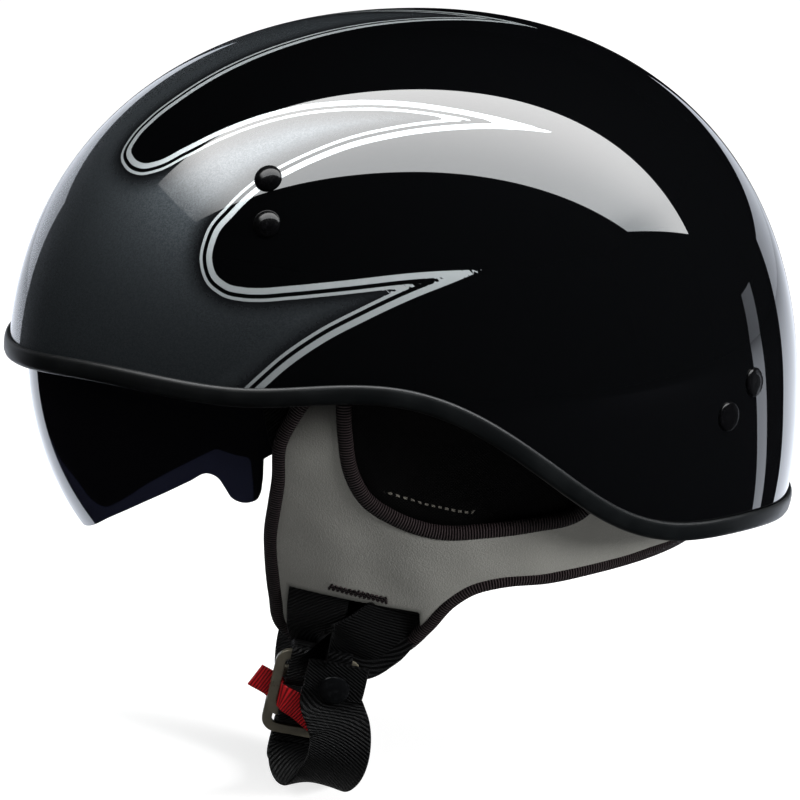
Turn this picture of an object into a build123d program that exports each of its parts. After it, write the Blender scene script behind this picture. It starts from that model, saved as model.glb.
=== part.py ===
"""Half shell motorcycle helmet: shell, drop-down shield, neck curtain and double ring strap.

Millimetres, +Z up. The wearer looks along -X and the origin is the middle of the head.
"""
import math
import os

from build123d import *

# Dome that the shell, the liner and the pads all follow
front_length = 148.5
rear_length = 138.7
half_width = 115
crown_height = 137.3
crown_power = 2.22
lower_depth = 121.5
lower_power = 2.5
dome_low_share = 0.6
overrun = 12
seat_gap = 0.3
fit_gap = 0.1

# Rim, seen from the side, as shares of the lengths and of the crown height
rim_shares = [
    (-1.03, 0.107), (-0.808, 0.153), (-0.404, 0.144), (-0.027, 0.157), (0.144, 0.091), (0.332, -0.046),
    (0.505, -0.181), (0.67, -0.249), (0.901, -0.284), (1.03, -0.33)]
shell_thickness = 3.5
trim_height = 7
trim_below = 1.8
trim_lip = 1.8

# Liner and pads
liner_thickness = 25
liner_rise = 5.8
pad_thickness = 8
pad_corner = 9
crown_pad_radius = 55
brow_pad_width = 124
brow_pad_height = 34
brow_pad_middle = 46
nape_pad_width = 120
nape_pad_height = 36
nape_pad_middle = -9
side_pad_front = -35
side_pad_back = 60
side_pad_bottom = 29
side_pad_top = 74

# Shield: a drum about a cross axle through the temples, and its outline from the side
pivot_x = -27
pivot_z = 12
shield_reach = 114
shield_half_width = 89.4
shield_thickness = 2.2
shield_clearance = 1
shield_limit_down = 50
shield_limit_up = 68
drum_shares = [
    (0, 1), (0.201, 0.979), (0.358, 0.934), (0.515, 0.864), (0.638, 0.781), (0.749, 0.68),
    (0.845, 0.575), (0.917, 0.465), (0.962, 0.351), (0.988, 0.228), (0.998, 0.105), (1, 0)]
shield_lower_shares = [
    (-1.15, -0.53), (-0.98, -0.53), (-0.83, -0.517), (-0.725, -0.422), (-0.626, -0.347), (-0.552, -0.296),
    (-0.465, -0.238), (-0.41, -0.206), (-0.383, -0.214), (-0.356, -0.25), (-0.334, -0.284), (-0.3, -0.297),
    (-0.257, -0.284), (-0.24, -0.22)]
shield_arm_shares = [(-0.237, -0.149), (-0.149, -0.096)]
shield_top_shares = [(-0.35, 0.13), (-1.15, 0.165)]
notch_half_width = 19
notch_top = -30
notch_bottom = -56
notch_flare = 9
eye_radius = 10
eye_bore = 4.16
pin_radius = 2
pin_head_radius = 5
pin_head_height = 2
pin_washer_thickness = 0.6
plate_thickness = 1.6
plate_eye_radius = 8
plate_width = 22
plate_rise = 62
plate_lean = 3

# Rivets: places on the shell, heads and what they clamp
temple_rivet_shares = [(-0.349, 0.687), (-0.352, 0.583)]
nape_rivet_shares = [(0.866, 0.112), (0.797, 0.044)]
rivet_radius = 5
rivet_height = 2.6
rivet_rim = 0.7
disc_radius = 5.3
disc_height = 1.1
shank_radius = 2.5
washer_radius = 6
washer_thickness = 1
tail_radius = 3.8
tail_height = 1.1
anchor_width = 15
anchor_thickness = 1.2

# Webbing
webbing_width = 22
webbing_thickness = 1.6
webbing_bow = 0.6

# Neck curtain: radius at the ear and its narrowing towards the jaw
curtain_inset = 8
curtain_narrowing = 41
curtain_height = 107
curtain_start = 20
curtain_power = 1.467
curtain_top = 32
curtain_thickness = 3.5
binding_width = 4
binding_proud = 0.5
nape_seam = 0.3
curtain_front_shares = [
    (-0.226, 0.2), (-0.269, 0.16), (-0.303, 0.102), (-0.334, 0.029), (-0.342, -0.087), (-0.352, -0.16),
    (-0.362, -0.24), (-0.362, -0.326), (-0.354, -0.444), (-0.341, -0.532)]
curtain_lower_shares = [
    (-0.314, -0.568), (-0.202, -0.61), (-0.082, -0.615), (-0.03, -0.596), (0.036, -0.528),
    (0.099, -0.449), (0.148, -0.415), (0.216, -0.398), (0.346, -0.397), (0.469, -0.386),
    (0.598, -0.377), (0.793, -0.368), (1.02, -0.362)]
ear_shares = [
    (-0.158, 0.22), (-0.157, 0.051), (-0.141, -0.058), (-0.112, -0.12), (-0.044, -0.175), (0.058, -0.213),
    (0.18, -0.213), (0.303, -0.204), (0.411, -0.186), (0.48, -0.1)]
slit_shares = [(-0.306, -0.403), (0.008, -0.467), (0.012, -0.567), (-0.306, -0.512)]
lining_margin = 5
lining_thickness = 1.2

# Strap legs inside the curtain, as places seen from the side
front_leg_shares = [
    (-0.352, 0.74), (-0.352, 0.63), (-0.35, 0.5), (-0.343, 0.43), (-0.325, 0.3), (-0.285, 0.087),
    (-0.277, 0.044), (-0.262, -0.01), (-0.258, -0.05), (-0.246, -0.15), (-0.232, -0.25),
    (-0.224, -0.31), (-0.23, -0.352)]
front_leg_pass = 92.9
front_leg_leave = 50
rear_leg_shares = [
    (0.885, 0.14), (0.81, 0.05), (0.72, -0.06), (0.63, -0.16), (0.52, -0.25), (0.4, -0.31),
    (0.28, -0.335), (0.17, -0.345), (0.075, -0.37)]
rear_leg_leave = -12
yoke_top_width = 44
yoke_slit_width = 43
yoke_middle_width = 37
yoke_thickness = 2
yoke_end_thickness = 3.2
yoke_shares = [(-0.145, -0.42), (-0.145, -0.482), (-0.165, -0.522), (-0.192, -0.543)]
yoke_bow = 2.2

# Buckle frame at the left jaw: lean inwards, tilt forwards
buckle_x = -35.7
buckle_y = -70.5
buckle_z = -89.9
buckle_lean = 12
buckle_tilt = 12
ring_width = 31.5
ring_height = 27
ring_bar = 3.5
ring_thickness = 1.8
ring_corner = 5.5
ring_gap = 1.4
ring_edge = 0.4
upper_ring_middle = -3.2
lower_ring_middle = -11.7
loop_top = 12.6
loop_bottom = -2.2

# Chin strap under the jaw, and the tail with its snap
chin_depth = -146
chin_bend_places = [(-41.5, 45, -131), (-40, 31, -139.5), (-38.5, 16, -144.6)]
snap_x = 6.2
snap_y = 1
snap_gap = 0.2
stud_radius = 4.5
stud_base = 1
stud_neck = 1.8
stud_reach = 3.3
socket_radius = 4.6
socket_height = 1.1
cap_radius = 5.6
cap_height = 1.9
cap_rim = 0.8
tail_places = [
    (0.2, -32.4, -1.9), (1.2, -35.4, -0.2), (3.2, -37.5, 2.5), (6, -38, 5.8), (8.9, -36.2, 9),
    (11.2, -32, 11.7), (12.6, -26, 13.5), (12.6, -18.5, 13.6), (11, -12, 12), (8.6, -8.2, 9.8)]
tail_end = 11
tab_width = 9.5
tab_thickness = 0.8
tab_places = [(-21.7, -3.1), (-14, -6.5), (-4.5, -10.4), (3.4, -15.4)]


def spot(shares):
    """Place seen from the side, as (x, z), from its shares."""
    length = front_length if shares[0] < 0 else rear_length
    return shares[0] * length, shares[1] * crown_height


def level_share(height, top, power):
    return max(1 - (abs(height) / top) ** power, 0) ** (1 / power)


def dome_place(x, z, depth):
    """Half breadth and outward normal of the dome skin on the -Y side."""
    length = (front_length if x < 0 else rear_length) - depth
    width = half_width - depth
    top, power = (crown_height, crown_power) if z > 0 else (lower_depth, lower_power)
    level = level_share(z, top - depth, power)
    y = width * math.sqrt(max(level ** 2 - (x / length) ** 2, 0))
    rise = level ** (2 - power) * (abs(z) / (top - depth)) ** (power - 1) / (top - depth)
    normal = Vector(x / length ** 2, -y / width ** 2, math.copysign(rise, z)).normalized()
    return Vector(x, -y, z), normal


def closed_face(curves):
    return Face(Wire([edge for curve in curves for edge in curve.edges()]))


def revolved(profile, front_scale, rear_scale):
    """Turn a profile of (radius, z) edges into a solid that is longer in front and behind."""
    halves = []
    for side, lengthen in ((1, front_scale), (-1, rear_scale)):
        half = revolve(closed_face(profile(side)), axis=Axis.Z, revolution_arc=180)
        halves.append(scale(half, by=(lengthen, 1, 1)))
    return halves[0] + halves[1]


def dome(depth):
    """Filled dome whose skin lies this far inside the outer skin of the shell."""
    radius = half_width - depth
    top = crown_height - depth
    low = dome_low_share * lower_depth

    def profile(side):
        points = []
        for step in range(4):
            z = -low * (1 - step / 4)
            points.append((0, side * radius * level_share(z, lower_depth - depth, lower_power), z))
        for step in range(11):
            turn = math.radians(9 * step)
            out = max(math.cos(turn), 0) ** (2 / crown_power)
            up = math.sin(turn) ** (2 / crown_power)
            points.append((0, side * radius * out, top * up))
        points[-1] = (0, 0, top)
        skin = Spline(*points)
        axis_line = Line((0, 0, top), (0, 0, -low))
        floor_line = Line((0, 0, -low), points[0])
        return [skin, axis_line, floor_line]

    return revolved(profile, (front_length - depth) / radius, (rear_length - depth) / radius)


def side_prism(edges, reach=half_width + overrun):
    """Extrude a closed outline, drawn in the plane of symmetry, to both sides."""
    return extrude(closed_face(edges), amount=reach, dir=(0, 1, 0), both=True)


def flat(places):
    return [(x, 0, z) for x, z in places]


def shifted(places, distance):
    """Move an open line of places sideways, up where the distance is positive."""
    moved = []
    for index, (x, z) in enumerate(places):
        before = places[max(index - 1, 0)]
        after = places[min(index + 1, len(places) - 1)]
        run = math.hypot(after[0] - before[0], after[1] - before[1])
        slide = distance / run
        moved.append((x - slide * (after[1] - before[1]), z + slide * (after[0] - before[0])))
    return moved


def above_rim(distance):
    """Everything above the rim line moved up by a distance."""
    places = shifted([spot(shares) for shares in rim_shares], distance)
    roof = crown_height + overrun
    first, last = flat([places[0], places[-1]])
    corner_rear = (last[0], 0, roof)
    corner_front = (first[0], 0, roof)
    return side_prism([Spline(*flat(places)), Polyline(last, corner_rear, corner_front, first)])


def layer(outer_depth, inner_depth):
    return dome(outer_depth) - dome(inner_depth)


def both_sides(shape):
    return [shape, mirror(shape, about=Plane.XZ)]


def place_plane(place, normal):
    """Work plane on a skin, its X level with the ground."""
    level = Vector(0, 0, 1).cross(normal).normalized()
    return Plane(origin=place, x_dir=level, z_dir=normal)


def turned(points):
    """Solid of revolution from (radius, height) points about Z."""
    outline = [(radius, 0, height) for radius, height in points]
    return revolve(closed_face([Polyline(*outline, close=True)]), axis=Axis.Z)


def rivet_planes(shares_list):
    return [place_plane(*dome_place(*spot(shares), 0)) for shares in shares_list]


def shank_bores(shares_list):
    """Bores along the rivets through everything that they clamp."""
    bore = Pos(0, 0, -overrun / 2) * Cylinder(shank_radius + fit_gap, 2 * overrun)
    bores = [plane.location * bore for plane in rivet_planes(shares_list)]
    return [piece for side in bores for piece in both_sides(side)]


def cut_all(shape, tools):
    for tool in tools:
        shape = shape - tool
    return shape


def outer_shell():
    shell = layer(0, shell_thickness) & above_rim(0)
    return cut_all(shell, shank_bores(temple_rivet_shares) + shank_bores(nape_rivet_shares))


def edge_trim():
    """U shaped rubber profile pushed over the rim."""
    band = above_rim(-trim_below) - above_rim(trim_height - trim_below)
    body = layer(-trim_lip, shell_thickness + trim_lip) & band
    groove = layer(-fit_gap, shell_thickness + fit_gap) & above_rim(-fit_gap)
    return body - groove


def rivet(head_radius, head_height, head_rim, grip):
    """Head on the skin, shank through the stack, formed tail behind it."""
    crown = head_rim + (head_height - head_rim) * 0.75
    return turned([
        (0, head_height), (head_radius / 2, head_height - (head_height - crown) / 2),
        (head_radius * 0.85, crown * 0.8), (head_radius, head_rim), (head_radius, 0),
        (shank_radius, 0), (shank_radius, -grip), (tail_radius, -grip), (tail_radius, -grip - tail_height),
        (0, -grip - tail_height)])


def temple_stack():
    """Depths under the shell's skin at the temple: webbing, plate, washer, end of the stack."""
    webbing = shell_thickness + 2 * webbing_bow
    plate = webbing + webbing_thickness + webbing_bow
    washer = plate + plate_thickness + 2 * seat_gap
    return webbing, plate, washer, washer + washer_thickness + fit_gap


def nape_stack():
    webbing = shell_thickness + webbing_bow
    anchor = webbing + webbing_thickness + 4 * webbing_bow
    return webbing, anchor, anchor + anchor_thickness + webbing_bow


def temple_rivets():
    one = rivet(rivet_radius, rivet_height, rivet_rim, temple_stack()[3])
    heads = [plane.location * one for plane in rivet_planes(temple_rivet_shares)]
    return Compound(children=[piece for head in heads for piece in both_sides(head)])


def nape_rivets():
    one = rivet(disc_radius, disc_height, disc_height / 2, nape_stack()[2])
    heads = [plane.location * one for plane in rivet_planes(nape_rivet_shares)]
    return Compound(children=[piece for head in heads for piece in both_sides(head)])


def temple_washers():
    depth = temple_stack()[2]
    ring = Cylinder(washer_radius, washer_thickness) - Cylinder(shank_radius + fit_gap, overrun)
    ring = Pos(0, 0, -depth - washer_thickness / 2) * ring
    rings = [plane.location * ring for plane in rivet_planes(temple_rivet_shares)]
    return Compound(children=[piece for item in rings for piece in both_sides(item)])


def nape_anchor():
    """Plate that clamps the rear leg under both nape rivets of the left side."""
    upper, lower = rivet_planes(nape_rivet_shares)
    apart = (upper.origin - lower.origin)
    normal = (upper.z_dir + lower.z_dir).normalized()
    middle = (upper.origin + lower.origin) / 2
    along = (apart - normal * apart.dot(normal)).normalized()
    plane = Plane(origin=middle, x_dir=along, z_dir=normal)
    blank = extrude(SlotOverall(apart.length + anchor_width, anchor_width), amount=-anchor_thickness)
    blank = plane.location * (Pos(0, 0, -nape_stack()[1]) * blank)
    bore = Pos(0, 0, -overrun / 2) * Cylinder(shank_radius + fit_gap, 2 * overrun)
    return cut_all(blank, [side.location * bore for side in (upper, lower)])


def shield_place(shares):
    return pivot_x + shares[0] * shield_reach, pivot_z + shares[1] * shield_reach


def axle(radius, start, length):
    """Cylinder about the shield's axle, from a distance off the middle outwards, on the -Y side."""
    middle = start + length / 2
    return Pos(pivot_x, -middle, pivot_z) * Rot(90, 0, 0) * Cylinder(radius, length)


def drum(inset):
    """Body of revolution about the shield's axle."""
    width = shield_half_width - inset
    reach = shield_reach - inset
    half = [(width * out, reach * up) for out, up in drum_shares]
    points = [(pivot_x, -y, pivot_z + up) for y, up in reversed(half)]
    points += [(pivot_x, y, pivot_z + up) for y, up in half[1:]]
    skin = Spline(*points)
    centre_line = Line(points[-1], points[0])
    axis = Axis((pivot_x, 0, pivot_z), (0, 1, 0))
    return revolve(closed_face([skin, centre_line]), axis=axis)


def nose_notch():
    """Arch cut out of the shield over the nose, flared towards its lower edge."""
    front = pivot_x - shield_reach - overrun
    wide = notch_half_width + notch_flare
    narrow = notch_half_width / 2
    arch = [(front, -wide, notch_bottom), (front, -narrow, notch_top)]
    arch += [(front, narrow, notch_top), (front, wide, notch_bottom)]
    outline = closed_face([Spline(*arch), Line(arch[-1], arch[0])])
    return extrude(outline, amount=shield_reach, dir=(1, 0, 0))


def shield():
    lower = flat([shield_place(shares) for shares in shield_lower_shares])
    arm = flat([shield_place(shares) for shares in shield_arm_shares])
    top = flat([shield_place(shares) for shares in shield_top_shares])
    eye_bottom = (pivot_x, 0, pivot_z - eye_radius)
    eye_top = (pivot_x, 0, pivot_z + eye_radius)
    eye = ThreePointArc(eye_bottom, (pivot_x + eye_radius, 0, pivot_z), eye_top)
    edges = [Spline(*lower), Polyline(lower[-1], *arm, eye_bottom), eye]
    edges.append(Polyline(eye_top, *top, lower[0]))
    body = (drum(0) - drum(shield_thickness)) & side_prism(edges)
    bore = axle(eye_bore / 2, 0, half_width)
    return cut_all(body, [nose_notch(), *both_sides(bore)])


def plate_inner():
    """Distance off the middle of the hinge plate's inner face."""
    return shield_half_width + pin_washer_thickness + 2 * fit_gap


def strip_outline(margin):
    """Outline from the pivot up to the temple rivets, widened by a margin."""
    upper, lower = [spot(shares) for shares in temple_rivet_shares]
    half = plate_width / 2 + margin
    run = math.hypot(upper[0] - pivot_x, upper[1] - pivot_z)
    along = ((upper[0] - pivot_x) / run, (upper[1] - pivot_z) / run)
    reach = run + washer_radius + margin
    corners = []
    for out, side in ((reach, 1), (reach, -1), (plate_eye_radius, -1)):
        corners.append((pivot_x + along[0] * out + along[1] * side * half,
                        pivot_z + along[1] * out - along[0] * side * half))
    round_radius = plate_eye_radius + margin
    start = (pivot_x + along[1] * -round_radius, pivot_z + along[0] * round_radius)
    bottom = (pivot_x - along[0] * round_radius, pivot_z - along[1] * round_radius)
    end = (pivot_x + along[1] * round_radius, pivot_z - along[0] * round_radius)
    corners.append(start)
    arc = ThreePointArc(*flat([start, bottom, end]))
    return [Polyline(*flat([end] + corners)), arc]


def hinge_plate():
    """Steel plate from the temple rivets down to the shield's axle, on the -Y side."""
    inner = plate_inner()
    outer = inner + plate_thickness
    top = pivot_z + plate_rise
    profile = [
        (0, -inner, pivot_z - overrun), (0, -inner, pivot_z + plate_rise / 2), (0, plate_lean - inner, top),
        (0, plate_lean - outer, top), (0, -outer, pivot_z + plate_rise / 2), (0, -outer, pivot_z - overrun)]
    depth = temple_stack()[1]
    bent = closed_face([Polyline(*profile, close=True)])
    sheet = extrude(bent, amount=front_length, dir=(1, 0, 0), both=True)
    outline = extrude(closed_face(strip_outline(0)), amount=half_width, dir=(0, -1, 0))
    strip = Pos(0, -inner / 2, 0) * outline
    upper = Pos(0, 0, top - overrun / 2 + crown_height / 2) * Box(
        2 * front_length, 4 * half_width, crown_height)
    skin = layer(depth, depth + plate_thickness) & (strip & upper)
    body = (sheet & strip & dome(depth)) + skin
    body = body - axle(pin_radius + fit_gap, 0, half_width)
    return cut_all(body, shank_bores(temple_rivet_shares))


def pivot_pin():
    """Headed pin through the shield's eye, riveted into the hinge plate."""
    head_face = shield_half_width - shield_thickness - seat_gap
    length = plate_inner() + plate_thickness - head_face
    head = axle(pin_head_radius, head_face - pin_head_height, pin_head_height)
    return head + axle(pin_radius, head_face, length)


def pivot_washer():
    start = shield_half_width + fit_gap
    return axle(pin_head_radius, start, pin_washer_thickness) - axle(pin_radius + fit_gap, 0, half_width)


def channel(depth):
    """Room in the liner for the hinge plate and the front leg of the left side."""
    outline = side_prism(strip_outline(shield_clearance))
    inner = plate_inner() - plate_lean - shield_clearance
    outboard = Pos(0, -inner - half_width, 0) * Box(
        2 * front_length, 2 * half_width, 2 * crown_height)
    return (outboard + layer(0, depth)) & outline


def shield_pocket():
    """Room in the liner for the shield between its lowest and its raised place."""
    reach = shield_reach + 3 * overrun
    corner = (pivot_x, pivot_z)
    ahead = (pivot_x - reach, pivot_z + reach * math.tan(math.radians(shield_limit_up)))
    below = (pivot_x - reach, pivot_z - reach * math.tan(math.radians(shield_limit_down)))
    sector = side_prism([Polyline(*flat([corner, ahead, below]), close=True)])
    return sector - drum(shield_thickness + shield_clearance)


def impact_liner():
    start = shell_thickness + seat_gap
    body = layer(start, start + liner_thickness) & above_rim(liner_rise)
    room = channel(temple_stack()[3] + tail_height + seat_gap)
    nape_room = nape_stack()[2] + tail_height + seat_gap
    nape_height = 2 * anchor_width + 3 * webbing_width
    nape_zone = Pos(rear_length, 0, 0) * Box(rear_length, 2 * half_width, nape_height)
    for route in (front_leg_route(), rear_leg_route()):
        body = cut_all(body, both_sides(leg_channel(route)))
    body = cut_all(body, [shield_pocket(), *both_sides(room), layer(0, nape_room) & nape_zone])
    return max(body.solids(), key=lambda block: block.volume)


def pad_start():
    return shell_thickness + seat_gap + liner_thickness + seat_gap


def pad_layer():
    return layer(pad_start(), pad_start() + pad_thickness)


def crown_pad():
    return pad_layer() & (Pos(0, 0, crown_height) * Cylinder(crown_pad_radius, crown_height))


def cross_pad(width, height, middle, direction):
    """Pad across the brow or the nape, with rounded ends."""
    outline = Plane.YZ * Pos(0, middle) * RectangleRounded(width, height, pad_corner)
    return pad_layer() & extrude(outline, amount=direction * (front_length + overrun))


def side_pad():
    middle = Pos((side_pad_front + side_pad_back) / 2, 0, (side_pad_bottom + side_pad_top) / 2)
    outline = RectangleRounded(side_pad_back - side_pad_front, side_pad_top - side_pad_bottom, pad_corner)
    block = middle * Rot(90, 0, 0) * extrude(outline, amount=half_width + overrun)
    return pad_layer() & block


def curtain_radius(z, depth):
    drop = max((curtain_start - z) / curtain_height, 0)
    return half_width - curtain_inset - curtain_narrowing * drop ** curtain_power - depth


def curtain_scale(x):
    length = front_length if x < 0 else rear_length
    return (length - curtain_inset) / (half_width - curtain_inset)


def curtain_place(x, z, depth):
    """Place on the curtain's skin on the -Y side, this deep inside it, and its normal."""
    radius = curtain_radius(z, depth)
    lengthen = curtain_scale(x)
    y = math.sqrt(max(radius ** 2 - (x / lengthen) ** 2, 0))
    drop = max((curtain_start - z) / curtain_height, 0)
    slope = curtain_narrowing * curtain_power / curtain_height * drop ** (curtain_power - 1)
    return Vector(x, -y, z), Vector(x / lengthen ** 2, -y, -radius * slope).normalized()


def curtain_ring(outer_depth, inner_depth):
    """Ring all round the neck between two depths of the curtain."""
    low = -curtain_narrowing * 2.2
    heights = [curtain_top, curtain_start]
    heights += [curtain_start + (low - curtain_start) * step / 6 for step in range(1, 7)]

    def profile(side):
        outer = [(0, side * curtain_radius(z, outer_depth), z) for z in heights]
        inner = [(0, side * curtain_radius(z, inner_depth), z) for z in heights]
        top = Line(inner[0], outer[0])
        bottom = Line(outer[-1], inner[-1])
        return [Spline(*outer), bottom, Spline(*reversed(inner)), top]

    return revolved(profile, curtain_scale(-1), curtain_scale(1))


def curtain_outline(margin):
    """Outline of the curtain without its ear opening, drawn in by a margin but at the top."""
    front = shifted([spot(shares) for shares in curtain_front_shares], margin)
    lower = shifted([spot(shares) for shares in curtain_lower_shares], margin)
    roof = [(lower[-1][0], crown_height), (front[0][0], crown_height)]
    edge = Spline(*flat(front + lower))
    outline = side_prism([edge, Polyline(*flat([lower[-1], *roof, front[0]]))])
    return outline - above_rim(liner_rise - seat_gap)


def ear_opening(margin):
    places = shifted([spot(shares) for shares in ear_shares], -margin)
    roof = [(places[-1][0], crown_height), (places[0][0], crown_height)]
    return side_prism([Spline(*flat(places)), Polyline(*flat([places[-1], *roof, places[0]]))])


def near_side():
    return Pos(0, -half_width - nape_seam / 2, 0) * Box(4 * rear_length, 2 * half_width, 4 * crown_height)


def slit():
    places = [spot(shares) for shares in slit_shares]
    return side_prism([Polyline(*flat(places), close=True)])


def neck_curtain():
    ring = curtain_ring(0, curtain_thickness) & near_side()
    return (ring & curtain_outline(binding_width)) - ear_opening(binding_width) - slit()


def binding_ring():
    return curtain_ring(-binding_proud, curtain_thickness + binding_proud) & near_side()


def curtain_binding():
    """Tape along the front and lower edge of the curtain."""
    return (binding_ring() & curtain_outline(0)) - curtain_outline(binding_width - fit_gap)


def ear_binding():
    """Tape round the ear opening."""
    band = (ear_opening(binding_width - fit_gap) - ear_opening(0)) & curtain_outline(binding_width)
    return binding_ring() & band


def ear_lining():
    """Fabric behind the ear opening."""
    start = curtain_thickness + binding_proud + seat_gap
    ring = curtain_ring(start, start + lining_thickness) & near_side()
    return (ring & ear_opening(-lining_margin)) - above_rim(liner_rise - seat_gap)


def ribbon(points, across, widths, thicknesses):
    """Flat strap through the points, lying along the across vectors."""
    sections = []
    for index, point in enumerate(points):
        along = points[min(index + 1, len(points) - 1)] - points[max(index - 1, 0)]
        side = across[index].normalized() * (widths[index] / 2)
        up = along.cross(side).normalized() * (thicknesses[index] / 2)
        sections.append([point + side + up, point - side + up, point - side - up, point + side - up])
    faces = [Face(Wire.make_polygon(sections[0])), Face(Wire.make_polygon(sections[-1]))]
    for before, after in zip(sections, sections[1:]):
        for corner in range(4):
            beside = (corner + 1) % 4
            edge = Edge.make_line(before[corner], before[beside])
            next_edge = Edge.make_line(after[corner], after[beside])
            faces.append(Face.make_surface_from_curves(edge, next_edge))
    return Solid(Shell(faces))


def webbing(points, across):
    count = len(points)
    return ribbon(points, across, [webbing_width] * count, [webbing_thickness] * count)


def surface_across(points, normals):
    """Across vectors that keep a strap flat on the skin."""
    result = []
    for index, normal in enumerate(normals):
        along = points[min(index + 1, len(points) - 1)] - points[max(index - 1, 0)]
        result.append(normal.cross(along).normalized())
    return result


def front_leg_route():
    """Points and across vectors from the temple rivets down past the hinge to the yoke."""
    depth = temple_stack()[0] + webbing_thickness / 2
    inside = curtain_thickness + binding_proud + webbing_thickness + 2 * webbing_bow
    points = []
    normals = []
    for x, z in [spot(shares) for shares in front_leg_shares]:
        place, normal = dome_place(x, z, depth)
        if z < pivot_z - eye_radius:
            place, normal = curtain_place(x, z, inside)
        elif z < front_leg_leave:
            place, normal = Vector(x, -front_leg_pass, z), Vector(0, -1, 0)
        points.append(place)
        normals.append(normal)
    return points, surface_across(points, normals)


def front_leg():
    return cut_all(webbing(*front_leg_route()), shank_bores(temple_rivet_shares))


def rear_leg_route():
    """Points and across vectors from the nape rivets forward to the yoke."""
    depth = nape_stack()[0] + webbing_thickness / 2
    inside = curtain_thickness + binding_proud + 2 * seat_gap + lining_thickness + webbing_thickness
    points = []
    normals = []
    for x, z in [spot(shares) for shares in rear_leg_shares]:
        on_dome = z > rear_leg_leave
        place, normal = dome_place(x, z, depth) if on_dome else curtain_place(x, z, inside)
        points.append(place)
        normals.append(normal)
    return points, surface_across(points, normals)


def rear_leg():
    return cut_all(webbing(*rear_leg_route()), shank_bores(nape_rivet_shares))


def leg_channel(route):
    """Room in the liner for a strap leg of the left side."""
    points, across = route
    count = len(points)
    wide = webbing_width + 2 * shield_clearance
    deep = webbing_thickness + 2 * shield_clearance
    return ribbon(points, across, [wide] * count, [deep] * count)


def buckle_plane():
    lean = math.radians(buckle_lean)
    tilt = math.radians(buckle_tilt)
    outward = Vector(0, -math.cos(lean), -math.sin(lean))
    upward = Vector(0, -math.sin(lean), math.cos(lean))
    level = Vector(math.cos(tilt), 0, 0) - upward * math.sin(tilt)
    return Plane(origin=(buckle_x, buckle_y, buckle_z), x_dir=level, z_dir=outward)


def buckle_point(x, y, z):
    return buckle_plane().from_local_coords(Vector(x, y, z))


def strap_yoke():
    """Sewn junction of both legs: inside the curtain, out through the slit, down to the loop."""
    places = [spot(shares) for shares in yoke_shares]
    inside = curtain_thickness + binding_proud + yoke_thickness + yoke_bow
    outside = -(seat_gap + yoke_thickness / 2)
    depths = [inside, curtain_thickness / 2, outside, outside - yoke_bow]
    first, second = [spot(shares) for shares in slit_shares[:2]]
    slant = Vector(second[0] - first[0], 0, second[1] - first[1]).normalized()
    points = []
    across = []
    for (x, z), depth in zip(places, depths):
        place, normal = curtain_place(x, z, depth)
        points.append(place)
        across.append(slant - normal * slant.dot(normal))
    points.append(buckle_point(0, loop_top + seat_gap, 0))
    across.append(buckle_plane().x_dir)
    widths = [yoke_top_width, yoke_slit_width, yoke_slit_width - binding_width, yoke_middle_width,
              webbing_width]
    return ribbon(points, across, widths, [yoke_thickness] * 4 + [yoke_end_thickness])


def ring(middle, level):
    """Stamped rounded rectangular ring, in the buckle's frame."""
    bore_corner = max(ring_corner - ring_bar, ring_bar / 2)
    frame = RectangleRounded(ring_width, ring_height, ring_corner)
    frame = frame - RectangleRounded(ring_width - 2 * ring_bar, ring_height - 2 * ring_bar, bore_corner)
    blank = Pos(0, 0, -ring_thickness / 2) * extrude(frame, amount=ring_thickness)
    flat_edges = blank.edges().filter_by_position(Axis.Z, ring_thickness / 2, ring_thickness)
    blank = fillet(flat_edges, radius=min(ring_edge, ring_thickness / 3))
    return buckle_plane().location * (Pos(0, middle, level) * blank)


def ring_level():
    return (ring_thickness + ring_gap) / 2


def ring_loop():
    """Webbing folded round the bars of both rings."""
    room = 2 * ring_level() + ring_thickness + 2 * fit_gap
    reach = loop_top - loop_bottom
    thickness = webbing_thickness
    outer = RectangleRounded(reach + thickness, room + 2 * thickness, thickness)
    inner = RectangleRounded(reach - thickness, room, thickness / 2)
    middle = (loop_top - webbing_thickness + loop_bottom) / 2 + webbing_thickness / 2
    face = Pos(loop_top / 2 + loop_bottom / 2 - webbing_thickness / 2, 0) * outer
    face = face - Pos(middle - webbing_thickness / 2, 0) * inner
    band = extrude(Plane.YZ * face, amount=webbing_width / 2, both=True)
    return buckle_plane().location * band


def loop_face():
    """Height of the loop's front face over the buckle's plane."""
    return ring_level() + ring_thickness / 2 + fit_gap + webbing_thickness


def ring_bars():
    """Heights of the two lower bars, and the level of webbing on the outer and inner ring faces."""
    upper = upper_ring_middle - ring_height / 2 + ring_bar / 2
    lower = lower_ring_middle - ring_height / 2 + ring_bar / 2
    face = ring_level() + ring_thickness / 2 + fit_gap + webbing_thickness / 2
    return upper, lower, face


def strap_path():
    """Centre of the webbing through both rings, as (y, z) in the buckle's frame.

    It comes up behind both rings, turns round the upper ring's lower bar and dips behind the
    lower ring's bar, in front of the incoming webbing.
    """
    upper, lower, face = ring_bars()
    inner = ring_gap / 2 - fit_gap - webbing_thickness / 2
    half = ring_bar / 2
    between = (upper + lower) / 2
    turn = upper + half + 4 * fit_gap + webbing_thickness / 2
    lean = turn - webbing_thickness / 3
    behind = -face - webbing_thickness - fit_gap
    return [
        (lower - 3 * ring_bar, behind - fit_gap), (lower - half, behind),
        (lower + 0.9 * half, behind + fit_gap), (between + half / 2, (behind + inner) / 2),
        (upper, inner), (upper + half / 2, inner - fit_gap), (lean, inner + 2 * fit_gap),
        (turn, ring_level()), (lean, face - 2 * fit_gap), (upper, face),
        (upper - 1.3 * half, face - 3 * fit_gap), (between, 0), (lower + 1.2 * half, 3 * fit_gap - face),
        (lower, -face), (lower - 1.5 * half, -face), (lower - 3 * half, -face + webbing_thickness / 2)]


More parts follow.
